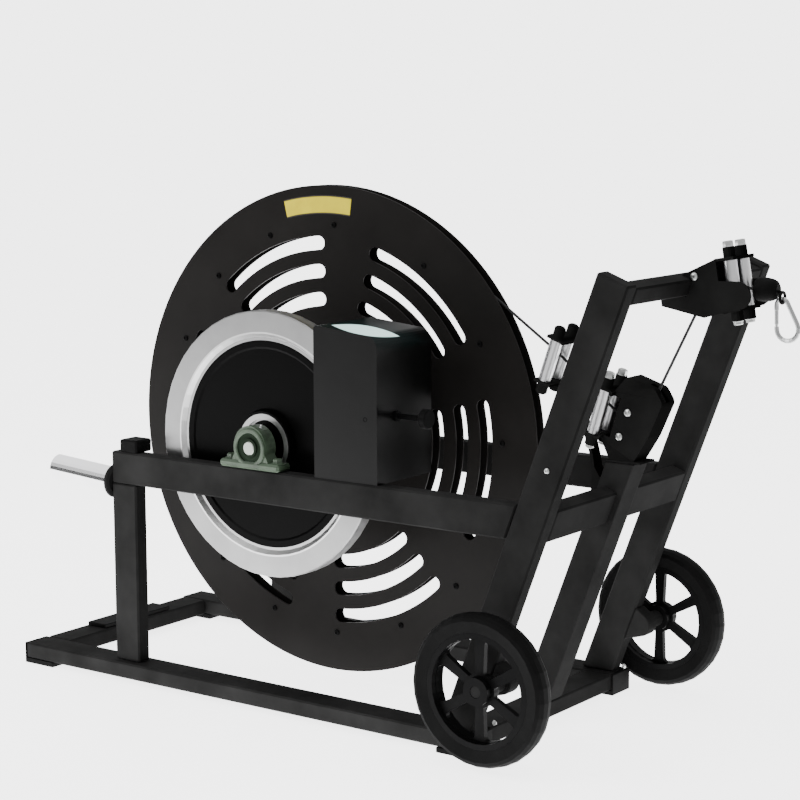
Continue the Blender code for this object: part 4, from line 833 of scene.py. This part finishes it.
def rope_bed():
    """The turns under the outer ones: a ring whose outside is ridged as the rope lies on it."""
    pitch = 2 * BED_HALF / RIDGES
    profile = [(BED_INNER, -BED_HALF)]
    for ridge in range(RIDGES):
        for step in range(RIDGE_STEPS):
            turn = math.pi * (step + 0.5) / RIDGE_STEPS
            radius = BED_OUTER - RIDGE_RISE * (1 - math.sin(turn))
            profile.append((radius, pitch * (ridge + (1 - math.cos(turn)) / 2) - BED_HALF))
    profile.append((BED_INNER, BED_HALF))
    bm = bmesh.new()
    layer = bm.loops.layers.uv.new("UVMap")
    revolve(bm, profile, 96, Matrix.Translation(AXLE) @ Matrix.Rotation(-math.pi / 2, 4, "X"), closed=True)
    for face in bm.faces:
        for loop in face.loops:
            offset = loop.vert.co - AXLE
            length = math.atan2(offset.z, offset.x) * BED_OUTER
            loop[layer].uv = (length * STRANDS_PER_METRE, offset.y * BED_WEAVE)
    piece = add_piece("rope_layers", orient(bm), ROPE, "rotor", "rope_fibre")
    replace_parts(piece, "rope_pack")


# Bearing blocks: the top of their feet, their bolts' places from the axle and their faces from the rail.
FOOT_TOP = 0.454
FOOT_BOLT = 0.053
BLOCK_FACE = 0.014


def foot_axes(y, lift):
    """Axes on the two feet of a bearing block."""
    return [facing(Vector((AXLE.x + x, y, FOOT_TOP + lift)), UP) for x in (-FOOT_BOLT, FOOT_BOLT)]


def face_axes(y, lift):
    """Axes on the two faces of a bearing block, about the axle."""
    reach = BLOCK_FACE + lift
    return [facing(Vector((AXLE.x, y + face * reach, AXLE.z)), (0, face, 0)) for face in (-1, 1)]


def block_bolts(y, tag):
    """Hexagon bolts on a block's feet, painted with it."""
    bm = bmesh.new()
    for matrix in foot_axes(y, 0.0001):
        hex_head(bm, matrix, across=0.0165, height=0.0068, washer=0.0115)
    add_piece("block_bolts_" + tag, orient(bm), GREEN, "frame", "green_casting")


def block_rims(y, tag):
    """Raised rims round a block's bearing and flat pads under its bolts."""
    rim = [(0.0272, -0.0006), (0.0355, -0.0006), (0.0355, 0.0022), (0.0335, 0.0040),
           (0.0290, 0.0040), (0.0272, 0.0022)]
    pad = [(0.0148, -0.0004), (0.0148, 0.0002), (0.0140, 0.0003)]
    bm = bmesh.new()
    for matrix in face_axes(y, 0.0001):
        revolve(bm, rim, 48, matrix, closed=True)
    for matrix in foot_axes(y, -0.0002):
        revolve(bm, pad, 28, matrix)
    add_piece("block_rims_" + tag, orient(bm), GREEN, "frame", "green_casting")


def grease_nipple(y, tag):
    """The nipple on top of a block, leaning forward."""
    profile = [(0.0032, -0.002), (0.0032, 0.003), (0.0018, 0.0045), (0.0026, 0.0062), (0.0014, 0.0080)]
    bm = bmesh.new()
    revolve(bm, profile, 12, facing(AXLE + Vector((0.014, y, 0.0345)), (0.35, 0, 1)))
    add_piece("grease_nipple_" + tag, orient(bm), ZINC, "frame", "machined_steel")


def bearing_seals(y, tag):
    """Thin dished seals on both faces of a bearing."""
    profile = [(0.0180, -0.0001), (0.0268, -0.0001), (0.0268, 0.0008), (0.0225, 0.0004), (0.0180, 0.0010)]
    bm = bmesh.new()
    for matrix in face_axes(y, 0.0002):
        revolve(bm, profile, 40, matrix, closed=True)
    # The seals take the same painted shade as the bearings.
    add_piece("bearing_seals_" + tag, orient(bm), SHADED_RACE, "frame", "green_casting")


def block_details():
    """What the two bearing blocks carry."""
    for side, tag in SIDES:
        y = side * RAIL_Y
        block_bolts(y, tag)
        block_rims(y, tag)
        grease_nipple(y, tag)
        bearing_seals(y, tag)


def rollers():
    """The guides' chromed rollers, rounder than the solids and with broken edges."""
    for tag, (_, _, _, length) in GUIDES.items():
        half = length / 2
        upper = [(JOURNAL_RADIUS, half + JOURNAL_LENGTH), (JOURNAL_RADIUS, half),
                 (ROLLER_RADIUS - ROLLER_EDGE, half), (ROLLER_RADIUS, half - ROLLER_EDGE)]
        profile = upper + [(radius, -height) for radius, height in reversed(upper)]
        for side, name in SIDES:
            bm = bmesh.new()
            revolve(bm, profile, 48, guide_axes(tag) @ Matrix.Translation((0.0, side * ROLLER_SPREAD, 0.0)))
            body = f"{tag}_roller_{name}"
            piece = add_piece(f"{tag}_sleeve_{name}", orient(bm), CHROME, body, "chrome_plate")
            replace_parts(piece, body)


def guide_bolts():
    """Heads on the roller guides' bosses, domed and black on the rear one, bright hexagons elsewhere."""
    for tag, (_, _, _, length) in GUIDES.items():
        axes = guide_axes(tag)
        end = length / 2 + GAP + GUIDE_PLATE + BOSS_HEIGHT
        bm = bmesh.new()
        for y in (-ROLLER_SPREAD, ROLLER_SPREAD):
            for way in (1, -1):
                matrix = facing(axes @ Vector((0.0, y, way * end)), axes.to_3x3() @ Vector((0.0, 0.0, way)))
                if tag == "rear":
                    button_head(bm, matrix, 0.0085, 0.0040)
                elif way > 0:
                    hex_head(bm, matrix, across=0.0150, height=0.0085, washer=0.0090)
                else:
                    hex_head(bm, matrix, across=0.0130, height=0.0050, washer=0.0085)
        material, slot_name = (BOLT, "frame_paint") if tag == "rear" else (ZINC, "machined_steel")
        add_piece(f"{tag}_guide_bolts", orient(bm), material, "frame", slot_name)


def horn_plugs():
    """Black plugs that close the horns' sleeves at their collars."""
    profile = [(0.0218, 0.0006), (0.0218, 0.0036), (0.0180, 0.0042)]
    for side, tag in SIDES:
        bm = bmesh.new()
        revolve(bm, profile, 32, facing(HORN_ROOT + Vector((0.0, side * RAIL_Y, 0.0)), HORN_ALONG))
        add_piece("horn_plug_" + tag, orient(bm), FRAME, "frame", "frame_paint")


def stopper_jacket():
    """Thick rubber round the rope's stopper, nearly a ball."""
    profile = [(0.0140, 0.0006), (0.0168, 0.0006), (0.0186, 0.0030), (0.0194, 0.0080), (0.0196, 0.0150),
               (0.0190, 0.0220), (0.0176, 0.0285), (0.0152, 0.0335), (0.0120, 0.0362), (0.0086, 0.0370)]
    bm = bmesh.new()
    revolve(bm, profile, 36, facing(at(STOPPER_REAR, 0.0, STOPPER_Z), (1, 0, 0)), closed=True)
    add_piece("stopper_jacket", orient(bm), RUBBER, "frame", "black_rubber")


# Domed bolts on each side: place, 1 to face outward or -1 to face inward, radius and height.
PLATE_BOLTS = ((1.202, 0.0222, 0.570, 1, 0.0068, 0.0042),
               (1.186, 0.0222, 0.528, 1, 0.0068, 0.0042),
               (1.331, 0.0370, 0.807, 1, 0.0068, 0.0042),
               (1.1835, 0.2460, 0.5025, 1, 0.0050, 0.0032),
               (1.0641, 0.2160, 0.0559, -1, 0.0045, 0.0028))


def plate_bolts():
    """Bright bolts in the pulley housings' cheeks and on the posts."""
    bm = bmesh.new()
    for side, _ in SIDES:
        for x, y, z, way, radius, height in PLATE_BOLTS:
            button_head(bm, facing(at(x, side * y, z), (0, way * side, 0)), radius, height)
    add_piece("plate_bolts", orient(bm), ZINC, "frame", "machined_steel")


def cover_plug():
    """A shallow black plug in the near side of the brake cover."""
    profile = [(0.0042, -0.0002), (0.0042, 0.0003), (0.0030, 0.0003), (0.0030, -0.0001)]
    bm = bmesh.new()
    revolve(bm, profile, 20, facing(at(0.816, -0.242, 0.552), (0, -1, 0)))
    add_piece("cover_plug", orient(bm), BOLT, "frame", "frame_paint")


discs()
opened("rear_guide_bracket", "rear", *REAR_OPENING)
opened("mid_pulley_housing", "mid", *MID_OPENING)
disc_screws()
label()
rope()
rope_bed()
block_details()
rollers()
horn_plugs()
stopper_jacket()
guide_bolts()
plate_bolts()
cover_plug()

# The view of the photograph: the lens, the camera's place and its three axes.
LENS = 95.877
SENSOR = 36.0
CAMERA_PLACE = at(2.97238504, -3.10246107, 1.12052226)
CAMERA_RIGHT = (0.80869464, 0.5882195, -0.00328654)
CAMERA_UP = (-0.08423347, 0.12133166, 0.98903152)
CAMERA_BACK = (0.58216639, -0.79954765, 0.14766804)

# Level directions from the object: away from the camera, and to the left and toward the viewer.
AWAY = (-0.588, 0.809, 0.0)
NEAR_LEFT = (-0.588, -0.809, 0.0)

# How bright the sky is, with its bright part's strength and its dim part's factor.
SKY = 0.75
SKY_BRIGHT = 4.2
SKY_DIM = 0.04

# The floor lies just under the feet and glows by this much, and the lamps look at the object's middle.
FLOOR_DROP = 0.0005
FLOOR_GLOW = 3.7
MIDDLE = Vector((0.0, 0.0, 0.4))


def camera():
    """The camera with the photograph's view."""
    data = bpy.data.cameras.new("camera")
    data.sensor_width = SENSOR
    data.lens = LENS
    data.clip_start = 0.05
    data.clip_end = 60.0
    obj = bpy.data.objects.new("camera", data)
    turn = Matrix((CAMERA_RIGHT, CAMERA_UP, CAMERA_BACK)).transposed().to_4x4()
    obj.matrix_world = Matrix.Translation(CAMERA_PLACE) @ turn
    bpy.context.scene.collection.objects.link(obj)
    bpy.context.scene.camera = obj


def area_light(name, place, size, power):
    """A square lamp that looks at the object's middle."""
    data = bpy.data.lights.new(name, "AREA")
    data.shape = "RECTANGLE"
    data.size = size
    data.size_y = size
    data.energy = power
    obj = bpy.data.objects.new(name, data)
    obj.location = place
    obj.rotation_euler = (MIDDLE - Vector(place)).to_track_quat("-Z", "Y").to_euler()
    bpy.context.scene.collection.objects.link(obj)


def floor_paint():
    """A pale floor that glows under and behind the object, so that it meets the sky unseen."""
    s = Surface("pale_floor")
    pale = s.ramp(s.noise(3.0), (0.3, (0.93, 0.93, 0.935)), (0.8, grey(0.95)))
    s.colour(pale)
    s.glow(pale)
    s.roughness(s.span(s.noise(20.0), 0.55, 0.7))
    distance = s.measure((0.0, 0.0, 0.0), AWAY)
    s.link(s.span(distance, 0.0, FLOOR_GLOW, -0.9, -0.58), s.shader.inputs["Emission Strength"])
    return s.fixed(Specular_IOR_Level=0.2).material


def floor():
    """A wide floor, which is part of the stage."""
    bm = bmesh.new()
    bmesh.ops.create_grid(bm, x_segments=8, y_segments=8, size=30.0)
    mesh = bpy.data.meshes.new("floor")
    bm.to_mesh(mesh)
    bm.free()
    mesh.materials.append(floor_paint())
    obj = bpy.data.objects.new("floor", mesh)
    obj.location = (0.0, 0.0, -FLOOR_DROP)
    bpy.context.scene.collection.objects.link(obj)


def sky_span(tree, value, low, high, first, last):
    """Stretch a value's range from low to high over first to last."""
    span = tree.nodes.new("ShaderNodeMapRange")
    for socket, setting in (("From Min", low), ("From Max", high), ("To Min", first), ("To Max", last)):
        span.inputs[socket].default_value = setting
    tree.links.new(value, span.inputs["Value"])
    return span.outputs[0]


def sky_product(tree, first, second):
    """Two of the sky's values, multiplied."""
    node = tree.nodes.new("ShaderNodeMath")
    node.operation = "MULTIPLY"
    tree.links.new(first, node.inputs[0])
    tree.links.new(second, node.inputs[1])
    return node.outputs[0]


def sky_lobe(tree, *limits):
    """A soft-edged part of the sky. Each limit is a direction, two reaches along it and their values."""
    heading = tree.nodes.new("ShaderNodeTexCoord").outputs["Generated"]
    spans = []
    for direction, low, high, first, last in limits:
        dot = tree.nodes.new("ShaderNodeVectorMath")
        dot.operation = "DOT_PRODUCT"
        dot.inputs[1].default_value = direction
        tree.links.new(heading, dot.inputs[0])
        spans.append(sky_span(tree, dot.outputs["Value"], low, high, first, last))
    return sky_product(tree, *spans)


def sky():
    """An even pale sky, brighter low down behind the object and dimmer low down at the near left."""
    world = bpy.data.worlds.new("studio")
    world.use_nodes = True
    tree = world.node_tree
    background = tree.nodes["Background"]
    background.inputs["Color"].default_value = (1.0, 1.0, 1.0, 1.0)
    bright = sky_lobe(tree, (UP, 0.05, 0.14, 1.0, 0.0), (AWAY, 0.80, 0.93, 0.0, 1.0))
    dim = sky_lobe(tree, (UP, 0.30, 0.42, 1.0, 0.0), (NEAR_LEFT, 0.55, 0.80, 0.0, 1.0))
    light = sky_span(tree, bright, 0.0, 1.0, SKY, SKY_BRIGHT)
    shade = sky_span(tree, dim, 0.0, 1.0, 1.0, SKY_DIM)
    tree.links.new(sky_product(tree, light, shade), background.inputs["Strength"])
    bpy.context.scene.world = world


camera()
floor()
sky()
area_light("key", (-1.6, -3.2, 3.0), size=2.4, power=85.0)
area_light("top", (0.2, 0.2, 3.6), size=3.0, power=40.0)
